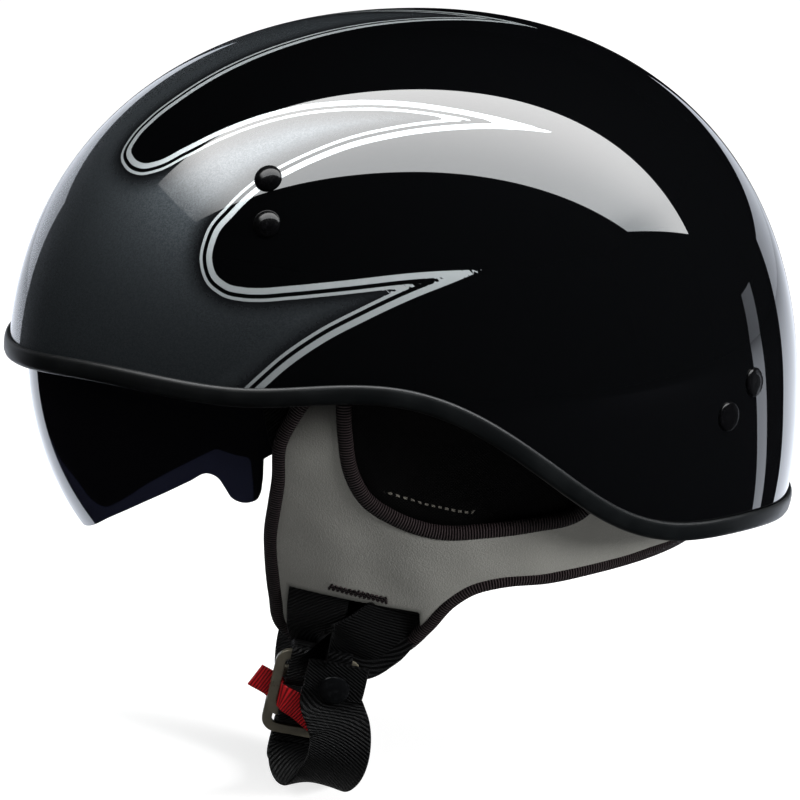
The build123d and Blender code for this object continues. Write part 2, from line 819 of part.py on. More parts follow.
def chin_strap():
    """From the right yoke under the jaw, up behind the rings and through them."""
    level = buckle_plane().x_dir
    low = loop_bottom - ring_height
    heights = [(loop_top, 0), (loop_bottom, 0), ((loop_bottom + low) / 2, 0), (low, -ring_bar)]
    start = [buckle_point(0, *place) for place in heights]
    points = [Vector(point.X, -point.Y, point.Z) for point in start]
    bends = [Vector(*place) for place in chin_bend_places]
    points += bends
    points.append(Vector(bends[-1].X, 0, chin_depth))
    points += [Vector(place.X, -place.Y, place.Z) for place in reversed(bends)]
    points += [buckle_point(0, *place) for place in strap_path()]
    return webbing(points, [level] * len(points))


def strap_tail():
    """End of the chin strap, looped forwards and up to the snap."""
    level = buckle_plane().x_dir
    half = webbing_thickness / 2
    start_y, start_z = strap_path()[-1]
    front = loop_face() + snap_gap + stud_base + snap_gap + socket_height + half
    places = [(0, start_y - seat_gap, start_z + fit_gap), *tail_places]
    places += [(snap_x, snap_y + side * cap_radius, front) for side in (-1, 0, 1)]
    places.append((snap_x, tail_end, front))
    points = [buckle_point(*place) for place in places]
    tail = webbing(points, [level] * len(points))
    bore = Pos(snap_x, snap_y, front) * Cylinder(stud_neck + fit_gap + snap_gap, webbing_thickness * 2)
    return tail - buckle_plane().location * bore


def snap_place(height):
    return buckle_plane().location * Pos(snap_x, snap_y, height)


def snap_stud():
    """Base on the loop's front face and the stud that the cap holds."""
    reach = stud_base + stud_reach
    return snap_place(loop_face() + fit_gap) * turned([
        (0, 0), (stud_radius, 0), (stud_radius, stud_base), (stud_neck * 0.85, stud_base),
        (stud_neck * 0.85, reach * 0.6), (stud_neck, reach * 0.8), (stud_neck * 0.8, reach), (0, reach)])


def snap_socket():
    bore = stud_neck + fit_gap + snap_gap
    base = loop_face() + snap_gap + stud_base + snap_gap - fit_gap
    outline = [(bore, 0), (socket_radius, 0), (socket_radius, socket_height), (bore, socket_height)]
    return snap_place(base) * turned(outline)


def snap_cap():
    bore = stud_neck + fit_gap
    base = loop_face() + stud_base + socket_height + webbing_thickness + 3 * snap_gap
    return snap_place(base) * turned([
        (bore, 0), (cap_radius, 0), (cap_radius, cap_rim), (cap_radius * 0.85, cap_height * 0.8),
        (cap_radius / 2, cap_height), (0, cap_height), (0, cap_rim), (bore, cap_rim)])


def pull_tab():
    """Red ribbon that passes behind the upper ring's left bar and over the webbing."""
    start, bar, over, end = tab_places
    face = ring_bars()[2] + webbing_thickness / 2 + tab_thickness
    rise = (ring_width / 2 - ring_bar + webbing_width / 2) / 2
    slope = (over[1] - bar[1]) / (over[0] - bar[0])
    fall = bar[1] + slope * (-rise - bar[0])
    half = tab_thickness / 2
    places = [
        (*start, half), (*bar, 0), (-rise - tab_thickness, fall, 0), (-rise, fall, half),
        (-rise, fall, face - half), (-rise + tab_thickness, fall, face), (*over, face), (*end, face)]
    points = [buckle_point(*place) for place in places]
    count = len(points)
    return ribbon(points, [buckle_plane().y_dir] * count, [tab_width] * count, [tab_thickness] * count)


def pieces():
    nodes = {
        "outer_shell": outer_shell(),
        "edge_trim": edge_trim(),
        "impact_liner": impact_liner(),
        "crown_pad": crown_pad(),
        "brow_pad": cross_pad(brow_pad_width, brow_pad_height, brow_pad_middle, -1),
        "nape_pad": cross_pad(nape_pad_width, nape_pad_height, nape_pad_middle, 1),
        "shield": shield(),
        "temple_rivets": temple_rivets(),
        "nape_rivets": nape_rivets(),
        "temple_washers": temple_washers(),
        "ring_loop": ring_loop(),
        "ring_upper": ring(upper_ring_middle, ring_level()),
        "ring_lower": ring(lower_ring_middle, -ring_level()),
        "chin_strap": chin_strap(),
        "strap_tail": strap_tail(),
        "snap_stud": snap_stud(),
        "snap_socket": snap_socket(),
        "snap_cap": snap_cap(),
        "pull_tab": pull_tab(),
    }
    paired = {
        "side_pad": side_pad, "hinge_plate": hinge_plate, "pivot_pin": pivot_pin,
        "pivot_washer": pivot_washer, "nape_anchor": nape_anchor, "neck_curtain": neck_curtain,
        "curtain_binding": curtain_binding, "ear_binding": ear_binding, "ear_lining": ear_lining,
        "front_leg": front_leg, "rear_leg": rear_leg, "strap_yoke": strap_yoke}
    for name, make in paired.items():
        left, right = both_sides(make())
        nodes[name + "_left"] = left
        nodes[name + "_right"] = right
    return nodes


def report(name, shape):
    box = shape.bounding_box()
    print(name, len(shape.solids()), "solids", round(shape.volume), "mm3",
          [round(value, 1) for value in (*box.min, *box.max)])


os.makedirs("parts", exist_ok=True)
for node_name, node_shape in pieces().items():
    report(node_name, node_shape)
    export_step(node_shape, f"parts/{node_name}.step")
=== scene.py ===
import math

import bpy
import numpy as np
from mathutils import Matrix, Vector
from mathutils.geometry import delaunay_2d_cdt


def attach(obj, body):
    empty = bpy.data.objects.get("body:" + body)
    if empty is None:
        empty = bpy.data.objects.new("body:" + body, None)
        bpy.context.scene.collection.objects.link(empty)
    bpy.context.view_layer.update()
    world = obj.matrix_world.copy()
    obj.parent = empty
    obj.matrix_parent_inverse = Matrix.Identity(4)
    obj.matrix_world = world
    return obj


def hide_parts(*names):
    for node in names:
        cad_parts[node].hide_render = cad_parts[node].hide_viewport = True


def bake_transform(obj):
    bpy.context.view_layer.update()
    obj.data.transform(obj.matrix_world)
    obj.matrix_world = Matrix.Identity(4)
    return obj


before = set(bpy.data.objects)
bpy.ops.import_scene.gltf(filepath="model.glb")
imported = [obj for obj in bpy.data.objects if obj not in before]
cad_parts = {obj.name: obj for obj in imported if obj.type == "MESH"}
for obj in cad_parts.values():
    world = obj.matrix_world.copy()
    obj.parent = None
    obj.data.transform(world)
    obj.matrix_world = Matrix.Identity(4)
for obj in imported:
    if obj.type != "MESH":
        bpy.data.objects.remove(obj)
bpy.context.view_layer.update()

# The shell: a fibre reinforced half dome, moulded in one piece, 3.5 mm thick and cut along a
# rim that rises over the brow and drops behind the ears. It is painted charcoal metallic in
# front and gloss black behind, with traditional flame licks lined in silver under clear coat.
MM = 0.001
front_length, rear_length, half_width = 148.5, 138.7, 115.0
crown_height, crown_power = 137.3, 2.22
lower_depth, lower_power = 121.5, 2.5
shell_thickness = 3.5
rim_places = [
    (-153, 14.7), (-120, 21), (-60, 19.8), (-4, 21.6), (20, 12.5), (46, -6.3), (70, -24.9),
    (92.9, -34.2), (125, -39), (142.9, -45.3)]
shell_columns = 560
shell_rows = 140
shell_inner_rows = 40


def smooth_line(places):
    """Natural cubic through (x, z) places, as a function of x."""
    x, z = np.array(places, float).T
    count = len(x)
    gaps = np.diff(x)
    matrix = np.eye(count)
    slopes = np.zeros(count)
    for i in range(1, count - 1):
        matrix[i, i - 1:i + 2] = gaps[i - 1], 2 * (gaps[i - 1] + gaps[i]), gaps[i]
        slopes[i] = 6 * ((z[i + 1] - z[i]) / gaps[i] - (z[i] - z[i - 1]) / gaps[i - 1])
    bends = np.linalg.solve(matrix, slopes)

    def height(at):
        at = np.asarray(at, float)
        i = np.clip(np.searchsorted(x, at) - 1, 0, count - 2)
        near = at - x[i]
        far = x[i + 1] - at
        gap = gaps[i]
        return (bends[i] * far ** 3 + bends[i + 1] * near ** 3) / (6 * gap) + (
            z[i] / gap - bends[i] * gap / 6) * far + (z[i + 1] / gap - bends[i + 1] * gap / 6) * near

    return height


rim_height = smooth_line(rim_places)


def unit(vectors):
    """Vectors with a length of one."""
    vectors = np.asarray(vectors, float)
    return vectors / np.linalg.norm(vectors, axis=-1, keepdims=True)


def dome_point(turn, rise, depth=0.0):
    """Place on the dome. turn goes round +Z, rise from -1 to 1 is 90 degrees at the crown."""
    angle = np.asarray(rise) * math.pi / 2
    up = angle > 0
    power = np.where(up, crown_power, lower_power)
    height = np.where(up, crown_height, lower_depth) - depth
    level = np.abs(np.cos(angle)) ** (2 / power)
    length = np.where(np.cos(turn) < 0, front_length, rear_length) - depth
    return np.stack([
        length * level * np.cos(turn), (half_width - depth) * level * np.sin(turn),
        np.sign(angle) * height * np.abs(np.sin(angle)) ** (2 / power)], -1)


def dome_normal(place):
    """Outward normal of the dome at places on its skin."""
    x, y, z = np.moveaxis(np.asarray(place, float), -1, 0)
    length = np.where(x < 0, front_length, rear_length)
    height = np.where(z > 0, crown_height, lower_depth)
    power = np.where(z > 0, crown_power, lower_power)
    level = np.clip(1 - (np.abs(z) / height) ** power, 1e-9, None) ** (1 / power)
    steep = np.sign(z) * level ** (2 - power) * (np.abs(z) / height) ** (power - 1) / height
    return unit(np.stack([x / length ** 2, y / half_width ** 2, steep], -1))


def crossing(low, high, reached):
    """Where a test turns true between two numbers, found by halving, for a whole array."""
    for _ in range(40):
        middle = (low + high) / 2
        beyond = reached(middle)
        high = np.where(beyond, middle, high)
        low = np.where(beyond, low, middle)
    return high


def rim_rise(turn):
    """The rise at which the dome meets the rim line in this direction."""
    def above_rim(rise):
        place = dome_point(turn, rise)
        return place[..., 2] > rim_height(place[..., 0])

    return crossing(np.full(np.shape(turn), -0.6), np.full(np.shape(turn), 0.5), above_rim)


def run_along(line):
    """Distance from the start of a line to each of its points."""
    return np.concatenate([[0], np.cumsum(np.linalg.norm(np.diff(line, axis=0), axis=1))])


def spread(line, count):
    """This many points of a line, the same distance apart."""
    run = run_along(line)
    at = np.linspace(0, run[-1], count)
    return np.stack([np.interp(at, run, column) for column in line.T], -1)


def dome_columns(turns, rows, depth=0.0):
    """Places from the crown to the rim, column by column, evenly spaced along each."""
    fine = np.linspace(0, 1, 300)
    columns = [spread(dome_point(turn, 1 - (1 - low) * fine, depth), rows)
               for turn, low in zip(turns, rim_rise(turns))]
    return np.concatenate(columns)


def grid_faces(columns, rows, start=0, flip=False):
    """Faces of a grid of columns, of which the last joins the first."""
    faces = []
    for i in range(columns):
        after = (i + 1) % columns
        for j in range(rows - 1):
            near = start + i * rows + j
            far = start + after * rows + j
            face = (near, near + 1, far + 1, far)
            faces.append(face[::-1] if flip else face)
    return faces


def make_piece(name, places, faces, finish, slot, body):
    """Mesh object from places in millimetres. A piece without a body is left unattached."""
    mesh = bpy.data.meshes.new(name)
    mesh.from_pydata([tuple(place) for place in np.asarray(places, float) * MM], [], faces)
    mesh.validate()
    mesh.update()
    piece = bpy.data.objects.new(name, mesh)
    bpy.context.scene.collection.objects.link(piece)
    mesh.shade_smooth()
    mesh.materials.append(finish)
    if body:
        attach(piece, body)
    return piece


def weld(piece, gap):
    """Join the vertices of a piece that lie within this many millimetres of each other."""
    piece.modifiers.new("weld", "WELD").merge_threshold = gap * MM


def carry(piece, name, values):
    """Store one number, or one vector, for each vertex of a piece."""
    values = np.asarray(values, np.float32)
    kind, field = ("FLOAT", "value") if values.ndim == 1 else ("FLOAT_VECTOR", "vector")
    store = piece.data.attributes.new(name, kind, "POINT")
    store.data.foreach_set(field, values.ravel())


class Signal:
    """A value inside a finish. Sums and products of signals add its Math nodes."""

    def __init__(self, finish, socket):
        self.finish = finish
        self.socket = socket

    def maths(self, operation, *values):
        return self.finish.node("ShaderNodeMath", {"operation": operation}, dict(enumerate(values)))

    def __add__(self, other):
        return self.maths("ADD", self, other)

    def __sub__(self, other):
        return self.maths("SUBTRACT", self, other)

    def __rsub__(self, other):
        return self.maths("SUBTRACT", other, self)

    def __mul__(self, other):
        return self.maths("MULTIPLY", self, other)

    def __abs__(self):
        return self.maths("ABSOLUTE", self)

    __radd__ = __add__
    __rmul__ = __mul__

    def least(self, other):
        return self.maths("MINIMUM", self, other)

    def most(self, other):
        return self.maths("MAXIMUM", self, other)

    def wave(self):
        return self.maths("SINE", self)

    def step(self, low, high):
        """0 below low, 1 above high, smooth between. low may be above high."""
        return self.finish.node("ShaderNodeMapRange", {"interpolation_type": "SMOOTHSTEP"}, {
            "Value": self, "From Min": low, "From Max": high})

    def between(self, low, high, fringe):
        """1 from low to high and 0 outside, with a fringe on both sides of each end."""
        return self.step(low - fringe, low + fringe) * (1 - self.step(high - fringe, high + fringe))


class Nodes:
    """Adds nodes to the tree of a material or of the world."""

    def __init__(self, tree):
        self.tree = tree

    def node(self, kind, settings=None, inputs=None, out=0):
        """Add a node: its settings first, then the values or links of its sockets."""
        node = self.tree.nodes.new(kind)
        for key, value in (settings or {}).items():
            setattr(node, key, value)
        for key, value in (inputs or {}).items():
            if isinstance(value, Signal):
                self.tree.links.new(value.socket, node.inputs[key])
            else:
                node.inputs[key].default_value = value
        return Signal(self, node.outputs[out])


class Finish(Nodes):
    """A material on the Principled shader, whose constants are set on its own sockets."""

    def __init__(self, name, **constants):
        self.material = bpy.data.materials.new(name)
        self.material.use_nodes = True
        super().__init__(self.material.node_tree)
        self.shader = self.tree.nodes["Principled BSDF"]
        for socket, value in constants.items():
            value = (*value, 1.0) if isinstance(value, tuple) else value
            self.shader.inputs[socket.replace("_", " ")].default_value = value

    def place(self):
        return self.node("ShaderNodeTexCoord", out="Object")

    def stored(self, name, out="Fac"):
        return self.node("ShaderNodeAttribute", {"attribute_name": name}, out=out)

    def parts(self, vector):
        split = self.node("ShaderNodeSeparateXYZ", None, {0: vector})
        return [Signal(self, split.socket.node.outputs[k]) for k in range(3)]

    def noise(self, scale, detail=2.0, roughness=0.5):
        return self.node("ShaderNodeTexNoise", None, {
            "Vector": self.place(), "Scale": scale, "Detail": detail, "Roughness": roughness})

    def cells(self, scale, out="Distance"):
        return self.node("ShaderNodeTexVoronoi", None, {"Vector": self.place(), "Scale": scale}, out)

    def blend(self, share, first, second):
        """Colour between two colours, by a share from 0 to 1."""
        first, second = (value if isinstance(value, Signal) else (*value, 1.0) for value in (first, second))
        return self.node("ShaderNodeMix", {"data_type": "RGBA"}, {0: share, 6: first, 7: second}, out=2)

    def colour(self, share, first, second):
        self.feed("Base Color", self.blend(share, first, second))

    def bump(self, height, depth, strength=1.0):
        """Normal from a height of 0 to 1 that stands this many metres deep."""
        self.feed("Normal", self.node("ShaderNodeBump", None, {
            "Strength": strength, "Distance": depth, "Height": height}))

    def feed(self, socket, signal):
        self.tree.links.new(signal.socket, self.shader.inputs[socket])


# Edge of the black, as (x, roll): roll is in degrees from the crown's middle down each side
flame_edge = [
    (-62, 81), (-53.5, 76.7), (-45, 72.9), (-33, 68.9), (-17.3, 65.1), (-1.3, 61.7), (10.9, 59.4),
    (23.7, 56.8), (1.5, 57.5), (-26.3, 58.6), (-45, 58.9), (-55, 58.8), (-60.2, 58.4), (-66.9, 57),
    (-70.4, 54.9), (-71.5, 52.3), (-69.8, 48.7), (-63.8, 45.4), (-54.7, 42), (-45.3, 40.1),
    (-35.8, 38.5), (-22.9, 36.7), (-7.9, 35.3), (11, 33.9), (29.6, 32.7), (49.7, 31.6), (29.6, 30.6),
    (11, 29.5), (-7.9, 28.3), (-26.5, 27.5), (-41, 27.2), (-55.1, 27.4), (-69.2, 28.1), (-82, 29),
    (-91.3, 29.2), (-96.7, 27.8), (-100.1, 25), (-101.3, 22.2), (-98.9, 19.9), (-93.6, 17.9),
    (-84.4, 16), (-70.9, 13.6), (-57.4, 11.7), (-43.9, 10), (-30.1, 8.2), (-5.8, 5.2), (17.8, 2.6),
    (44, 0)]
flame_tips = [7, 25]
# Corners past the front of the shell, which close the outline of the charcoal
charcoal_corners = [(60, -2), (-170, -2), (-170, 120), (-70, 120)]
# The silver lines and the fringe of each, as distances from the edge of the black
thick_line = (0, 2.2)
thin_line = (3.7, 4.8)
line_fringe = 0.12
paint_reach = 30


def smooth_run(places, corners=(), steps=10):
    """Open curve through places of any dimension, sharp only at the numbered corners."""
    places = np.asarray(places, float)
    last = len(places) - 1
    runs = np.linalg.norm(np.diff(places, axis=0), axis=1)
    lean = np.empty_like(places)
    for i in range(len(places)):
        if 0 < i < last:
            back = (places[i] - places[i - 1]) / runs[i - 1]
            on = (places[i + 1] - places[i]) / runs[i]
            lean[i] = (back * runs[i] + on * runs[i - 1]) / (runs[i - 1] + runs[i])
        else:
            lean[i] = (places[min(i + 1, last)] - places[max(i - 1, 0)]) / runs[min(i, last - 1)]
    line = []
    for i, run in enumerate(runs):
        straight = (places[i + 1] - places[i]) / run
        lead = straight if i in corners else lean[i]
        trail = straight if i + 1 in corners else lean[i + 1]
        for share in np.arange(steps) / steps:
            square, cube = share ** 2, share ** 3
            line.append((2 * cube - 3 * square + 1) * places[i] + (3 * square - 2 * cube) * places[i + 1]
                        + run * ((cube - 2 * square + share) * lead + (cube - square) * trail))
    return np.array(line + [places[-1]])


def dome_side(x, z, depth=0.0):
    """Place on the left side of the dome, given how it is seen from the side."""
    x, z = np.broadcast_arrays(np.asarray(x, float), np.asarray(z, float))
    length = np.where(x < 0, front_length, rear_length) - depth
    height = np.where(z > 0, crown_height, lower_depth) - depth
    power = np.where(z > 0, crown_power, lower_power)
    level = np.clip(1 - (np.abs(z) / height) ** power, 0, None) ** (1 / power)
    y = (half_width - depth) * np.sqrt(np.clip(level ** 2 - (x / length) ** 2, 0, None))
    return np.stack([x, -y, z], -1)


def roll_place(x, roll):
    """Place on the left side of the dome at this x and roll from the middle line."""
    def near_middle(z):
        return np.degrees(np.arctan2(-dome_side(x, z)[:, 1], z)) <= np.maximum(roll, 0.05)

    side = np.full(np.shape(x), -40.0)
    top = np.full(np.shape(x), crown_height)
    return dome_side(x, crossing(side, top, near_middle))


def gap_to(line, places):
    """Distance from each place to an open line of points."""
    starts = line[:-1]
    spans = line[1:] - starts
    squares = (spans ** 2).sum(1) + 1e-12
    nearest = np.empty(len(places))
    batch = 4000
    for k in range(0, len(places), batch):
        offset = places[k:k + batch, None] - starts
        share = np.clip((offset * spans).sum(2) / squares, 0, 1)
        nearest[k:k + batch] = np.linalg.norm(offset - share[..., None] * spans, axis=2).min(1)
    return nearest


def within(outline, places):
    """Which places of a plane lie inside a closed outline."""
    inside = np.zeros(len(places), bool)
    across, up = places[:, 0], places[:, 1]
    for (a0, u0), (a1, u1) in zip(outline, np.roll(outline, -1, axis=0)):
        crosses = (u0 > up) != (u1 > up)
        inside ^= crosses & (across < (a1 - a0) * (up - u0) / (u1 - u0 + 1e-12) + a0)
    return inside


def flame_distance(places):
    """Millimetres from the edge of the black, positive on the charcoal side."""
    edge = smooth_run(flame_edge, flame_tips)
    x, y, z = places.T
    nearest = gap_to(roll_place(edge[:, 0], edge[:, 1]), np.stack([x, -np.abs(y), z], -1))
    outline = np.vstack([edge, charcoal_corners])
    charcoal = within(outline, np.stack([x, np.degrees(np.arctan2(np.abs(y), z))], -1))
    return np.where(charcoal, nearest, -nearest)


def shell_finish():
    """Charcoal with flake, silver lines with a black gap, gloss black, all under clear coat."""
    paint = Finish("shell_paint", Coat_Weight=1.0, Coat_Roughness=0.015, Coat_IOR=1.5,
                   Specular_IOR_Level=0.0)
    edge = paint.stored("black_gap")
    charcoal = edge.step(thin_line[1] - line_fringe, thin_line[1] + line_fringe)
    silver = edge.between(*thick_line, line_fringe) + edge.between(*thin_line, line_fringe)
    cloud = paint.noise(9, 3)
    airbrush = edge.step(3, 15) * (0.85 + 0.3 * cloud)
    sparkle = paint.parts(paint.cells(2600, "Color"))[0]
    grey = paint.blend(sparkle, (0.03, 0.035, 0.039), (0.054, 0.062, 0.068))
    front = paint.blend(airbrush.least(1), (0.002, 0.002, 0.0025), grey)
    ground = paint.blend(charcoal, (0.0012, 0.0013, 0.0015), front)
    paint.colour(silver, ground, (0.35, 0.38, 0.39))
    paint.feed("Metallic", charcoal * airbrush.least(1) * 0.8 + silver * 0.55)
    paint.feed("Roughness", 0.5 - 0.08 * silver + 0.04 * cloud - 0.1 * charcoal * sparkle)
    return paint.material


def build_shell():
    turns = np.linspace(0, 2 * math.pi, shell_columns, endpoint=False)
    outer = dome_columns(turns, shell_rows)
    inner = dome_columns(turns, shell_inner_rows, shell_thickness)
    faces = grid_faces(shell_columns, shell_rows)
    faces += grid_faces(shell_columns, shell_inner_rows, start=len(outer), flip=True)
    for i in range(shell_columns):
        after = (i + 1) % shell_columns
        near, far = ((column + 1) * shell_rows - 1 for column in (i, after))
        near_in, far_in = (len(outer) + (column + 1) * shell_inner_rows - 1 for column in (i, after))
        faces.append((near, near_in, far_in, far))
    shell = make_piece("shell", np.vstack([outer, inner]), faces, shell_finish(), "shell_paint", "helmet")
    painted = np.clip(flame_distance(outer), -paint_reach, paint_reach)
    carry(shell, "black_gap", np.concatenate([painted, np.full(len(inner), -paint_reach)]))
    weld(shell, 0.01)
    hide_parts("outer_shell")


build_shell()

# The edge trim: one U shaped length of extruded black rubber, pushed over the cut rim of the
# shell and glued, with its ends meeting at the nape.
trim_height = 7.0
trim_below = 1.8
trim_lip = 1.8
trim_columns = 480


def trim_finish():
    rubber = Finish("trim_rubber", Specular_IOR_Level=0.25)
    grain = rubber.noise(1800, 3, 0.6)
    dust = rubber.noise(60, 4, 0.6)
    rubber.colour(dust.step(0.4, 0.75), (0.002, 0.0025, 0.0028), (0.0042, 0.005, 0.0054))
    rubber.feed("Roughness", 0.36 + 0.12 * dust)
    rubber.bump(grain, 0.00003)
    return rubber.material


def build_trim():
    turns = np.linspace(0, 2 * math.pi, trim_columns, endpoint=False)
    edge = dome_point(turns, rim_rise(turns))
    outward = dome_normal(edge)
    ahead = unit(np.roll(edge, -1, axis=0) - np.roll(edge, 1, axis=0))
    upward = np.cross(outward, ahead)
    upward *= np.sign(upward[:, 2:])
    top = trim_height - trim_below
    back = -shell_thickness - trim_lip
    profile = [
        (0.02, 0.3), (0.02, top - 0.35), (0.3, top), (1.0, top - 0.05), (1.55, top - 0.6),
        (trim_lip, top - 1.6), (trim_lip + 0.1, 2.2), (trim_lip, -0.2), (1.3, -1.25), (0.5, -1.7),
        (-0.8, -trim_below), (-2.7, -trim_below), (-4.0, -1.7), (-4.8, -1.25), (back, -0.2),
        (back, 2.2), (back, top - 1.6), (back + 0.3, top - 0.6), (back + 0.9, top - 0.05),
        (-3.9, top), (-3.55, top - 0.35), (-3.55, 0.3)]
    places = [edge + out * outward + up * upward for out, up in profile]
    places = np.stack(places, axis=1).reshape(-1, 3)
    count = len(profile)
    faces = []
    for i in range(trim_columns):
        after = (i + 1) % trim_columns
        for j in range(count):
            beside = (j + 1) % count
            faces.append((i * count + j, after * count + j, after * count + beside, i * count + beside))
    trim = make_piece("trim", places, faces, trim_finish(), "trim_rubber", "helmet")
    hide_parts("edge_trim")


build_trim()

# The impact liner: moulded black bead foam pressed into the shell, with channels for the
# strap legs and the hinge plates and a pocket for the raised shield. It stays as it was cut.


def dress(node, finish):
    """Give a piece of the frame its finish."""
    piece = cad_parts[node]
    if not piece.material_slots:
        piece.data.materials.append(finish)
    for slot in piece.material_slots:
        slot.material = finish


def foam_finish():
    foam = Finish("liner_foam", Specular_IOR_Level=0.25)
    beads = foam.cells(330)
    tone = foam.parts(foam.cells(330, "Color"))[0]
    foam.colour(tone, (0.014, 0.014, 0.014), (0.03, 0.03, 0.03))
    foam.feed("Roughness", 0.6 + 0.25 * foam.noise(120))
    foam.bump(1 - beads, 0.0004, 0.7)
    return foam.material


dress("impact_liner", foam_finish())

# The comfort pads: foam cut to shape and covered in brushed knit, held to the liner by hook
# and loop. Each is swollen from its cut shape, with the cloth free to round over the foam.
pad_voxel = 5.0
pad_smoothing = 6
pad_pressure = 4.0
pad_most = 2.5
pad_frames = 20


def knit_finish():
    knit = Finish("pad_cloth", Sheen_Weight=0.4, Sheen_Roughness=0.5, Specular_IOR_Level=0.2)
    x, y, z = knit.parts(knit.place())
    loops = (x * 3600).wave() * (y * 3600).wave() + (z * 3600).wave()
    nap = knit.noise(900, 4, 0.7)
    knit.colour(nap, (0.01, 0.01, 0.011), (0.034, 0.034, 0.037))
    knit.feed("Roughness", 0.75 + 0.2 * nap)
    knit.bump(loops * 0.25 + nap, 0.0003)
    return knit.material


def applied(piece):
    """Turn a piece's modifiers into its mesh."""
    ready = piece.evaluated_get(bpy.context.evaluated_depsgraph_get())
    mesh = bpy.data.meshes.new_from_object(ready)
    piece.modifiers.clear()
    piece.data = mesh


def mesh_places(mesh):
    places = np.empty(len(mesh.vertices) * 3, np.float32)
    mesh.vertices.foreach_get("co", places)
    return places.reshape(-1, 3)


def swell(piece):
    """Blow the cover up a little with cloth, and let no place move far or into the liner."""
    rest = mesh_places(piece.data)
    cloth = piece.modifiers.new("cloth", "CLOTH")
    cloth.settings.use_pressure = True
    cloth.settings.uniform_pressure_force = pad_pressure
    cloth.settings.effector_weights.gravity = 0.0
    cloth.point_cache.frame_start = 1
    cloth.point_cache.frame_end = pad_frames
    for moment in range(1, pad_frames + 1):
        bpy.context.scene.frame_set(moment)
    ready = piece.evaluated_get(bpy.context.evaluated_depsgraph_get())
    moved = mesh_places(ready.data) - rest
    piece.modifiers.remove(cloth)
    bpy.context.scene.frame_set(1)
    outward = dome_normal(rest / MM)
    into = np.clip((moved * outward).sum(1, keepdims=True), 0, None)
    moved = moved - into * outward
    length = np.linalg.norm(moved, axis=1, keepdims=True)
    moved *= np.minimum(1, pad_most * MM / np.maximum(length, 1e-9))
    piece.data.vertices.foreach_set("co", (rest + moved).ravel().astype(np.float32))
    piece.data.update()


def build_pads():
    knit = knit_finish()
    for node in ("crown_pad", "brow_pad", "nape_pad", "side_pad_left", "side_pad_right"):
        pad = bpy.data.objects.new(node.replace("_pad", "_cushion"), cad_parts[node].data.copy())
        bpy.context.scene.collection.objects.link(pad)
        remesh = pad.modifiers.new("remesh", "REMESH")
        remesh.mode = "VOXEL"
        remesh.voxel_size = pad_voxel * MM
        smooth = pad.modifiers.new("smooth", "SMOOTH")
        smooth.iterations = pad_smoothing
        applied(pad)
        swell(pad)
        pad.modifiers.new("round", "SUBSURF").levels = 1
        pad.modifiers["round"].render_levels = 1
        applied(pad)
        pad.data.materials.clear()
        pad.data.materials.append(knit)
        pad.data.shade_smooth()
        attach(pad, "helmet")
        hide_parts(node)


build_pads()

# The rivets: domed black heads at the temples, which hold the front legs and the shield's
# hinge plates, and flat black discs at the nape for the rear legs, all closed over inside.
temple_rivet_places = [(-51.9, 94.3), (-52.2, 80.1)]
nape_rivet_places = [(120.1, 15.4), (110.5, 6.0)]
temple_profile = [
    (0, 2.6), (0.9, 2.56), (1.8, 2.44), (2.7, 2.2), (3.5, 1.86), (4.2, 1.42), (4.7, 0.95), (4.95, 0.5),
    (5.0, 0.2), (4.95, 0), (2.5, 0), (2.5, -9.8), (3.8, -9.8), (3.8, -10.6), (3.3, -10.9), (0, -10.9)]
nape_profile = [
    (0, 1.0), (2.6, 1.05), (4.4, 1.0), (4.9, 0.85), (5.2, 0.55), (5.3, 0.2), (5.25, 0), (2.5, 0),
    (2.5, -9.9), (3.8, -9.9), (3.8, -10.7), (3.3, -11.0), (0, -11.0)]


def crease(piece, degrees):
    """Keep a piece sharp where its faces turn by more than this angle."""
    piece.modifiers.new("crease", "EDGE_SPLIT").split_angle = math.radians(degrees)


def turned_piece(name, profile, seats, finish, slot, body):
    """One piece of like turned forms: rings of (radius, height) at each seat of (centre, axis)."""
    around = 48
    angles = np.linspace(0, 2 * math.pi, around, endpoint=False)
    places, faces = [], []
    for centre, axis in seats:
        start = len(places)
        level = unit(np.cross((0, 0, 1), axis))
        beside = np.cross(axis, level)
        for radius, height in profile:
            out = [radius * (math.cos(angle) * level + math.sin(angle) * beside) for angle in angles]
            places += [centre + axis * height + step for step in out]
        for ring in range(len(profile) - 1):
            a = start + ring * around
            for i in range(around):
                after = (i + 1) % around
                faces.append((a + i, a + around + i, a + around + after, a + after))
    piece = make_piece(name, places, faces, finish, slot, body)
    weld(piece, 0.005)
    crease(piece, 50)
    return piece


def rivet_seats(side_places):
    seats = []
    for x, z in side_places:
        for side in (1, -1):
            place = dome_side(x, z) * (1, side, 1)
            seats.append((place, dome_normal(place)))
    return seats


def enamel_finish(name, base):
    enamel = Finish(name, Coat_Weight=0.3, Coat_Roughness=0.05, Specular_IOR_Level=0.03)
    wear = enamel.noise(700, 4, 0.6)
    enamel.colour(wear.step(0.5, 0.8), base, tuple(3 * part for part in base))
    enamel.feed("Roughness", 0.25 + 0.2 * wear)
    enamel.bump(wear, 0.00003, 0.5)
    return enamel.material


def steel_finish():
    steel = Finish("plated_steel", Metallic=1.0)
    brush = steel.noise(2400, 2, 0.6)
    stain = steel.noise(90, 4, 0.6)
    steel.colour(stain, (0.42, 0.42, 0.43), (0.6, 0.6, 0.58))
    steel.feed("Roughness", 0.28 + 0.2 * stain)
    steel.bump(brush, 0.00003)
    return steel.material


sides = {"left": 1, "right": -1}


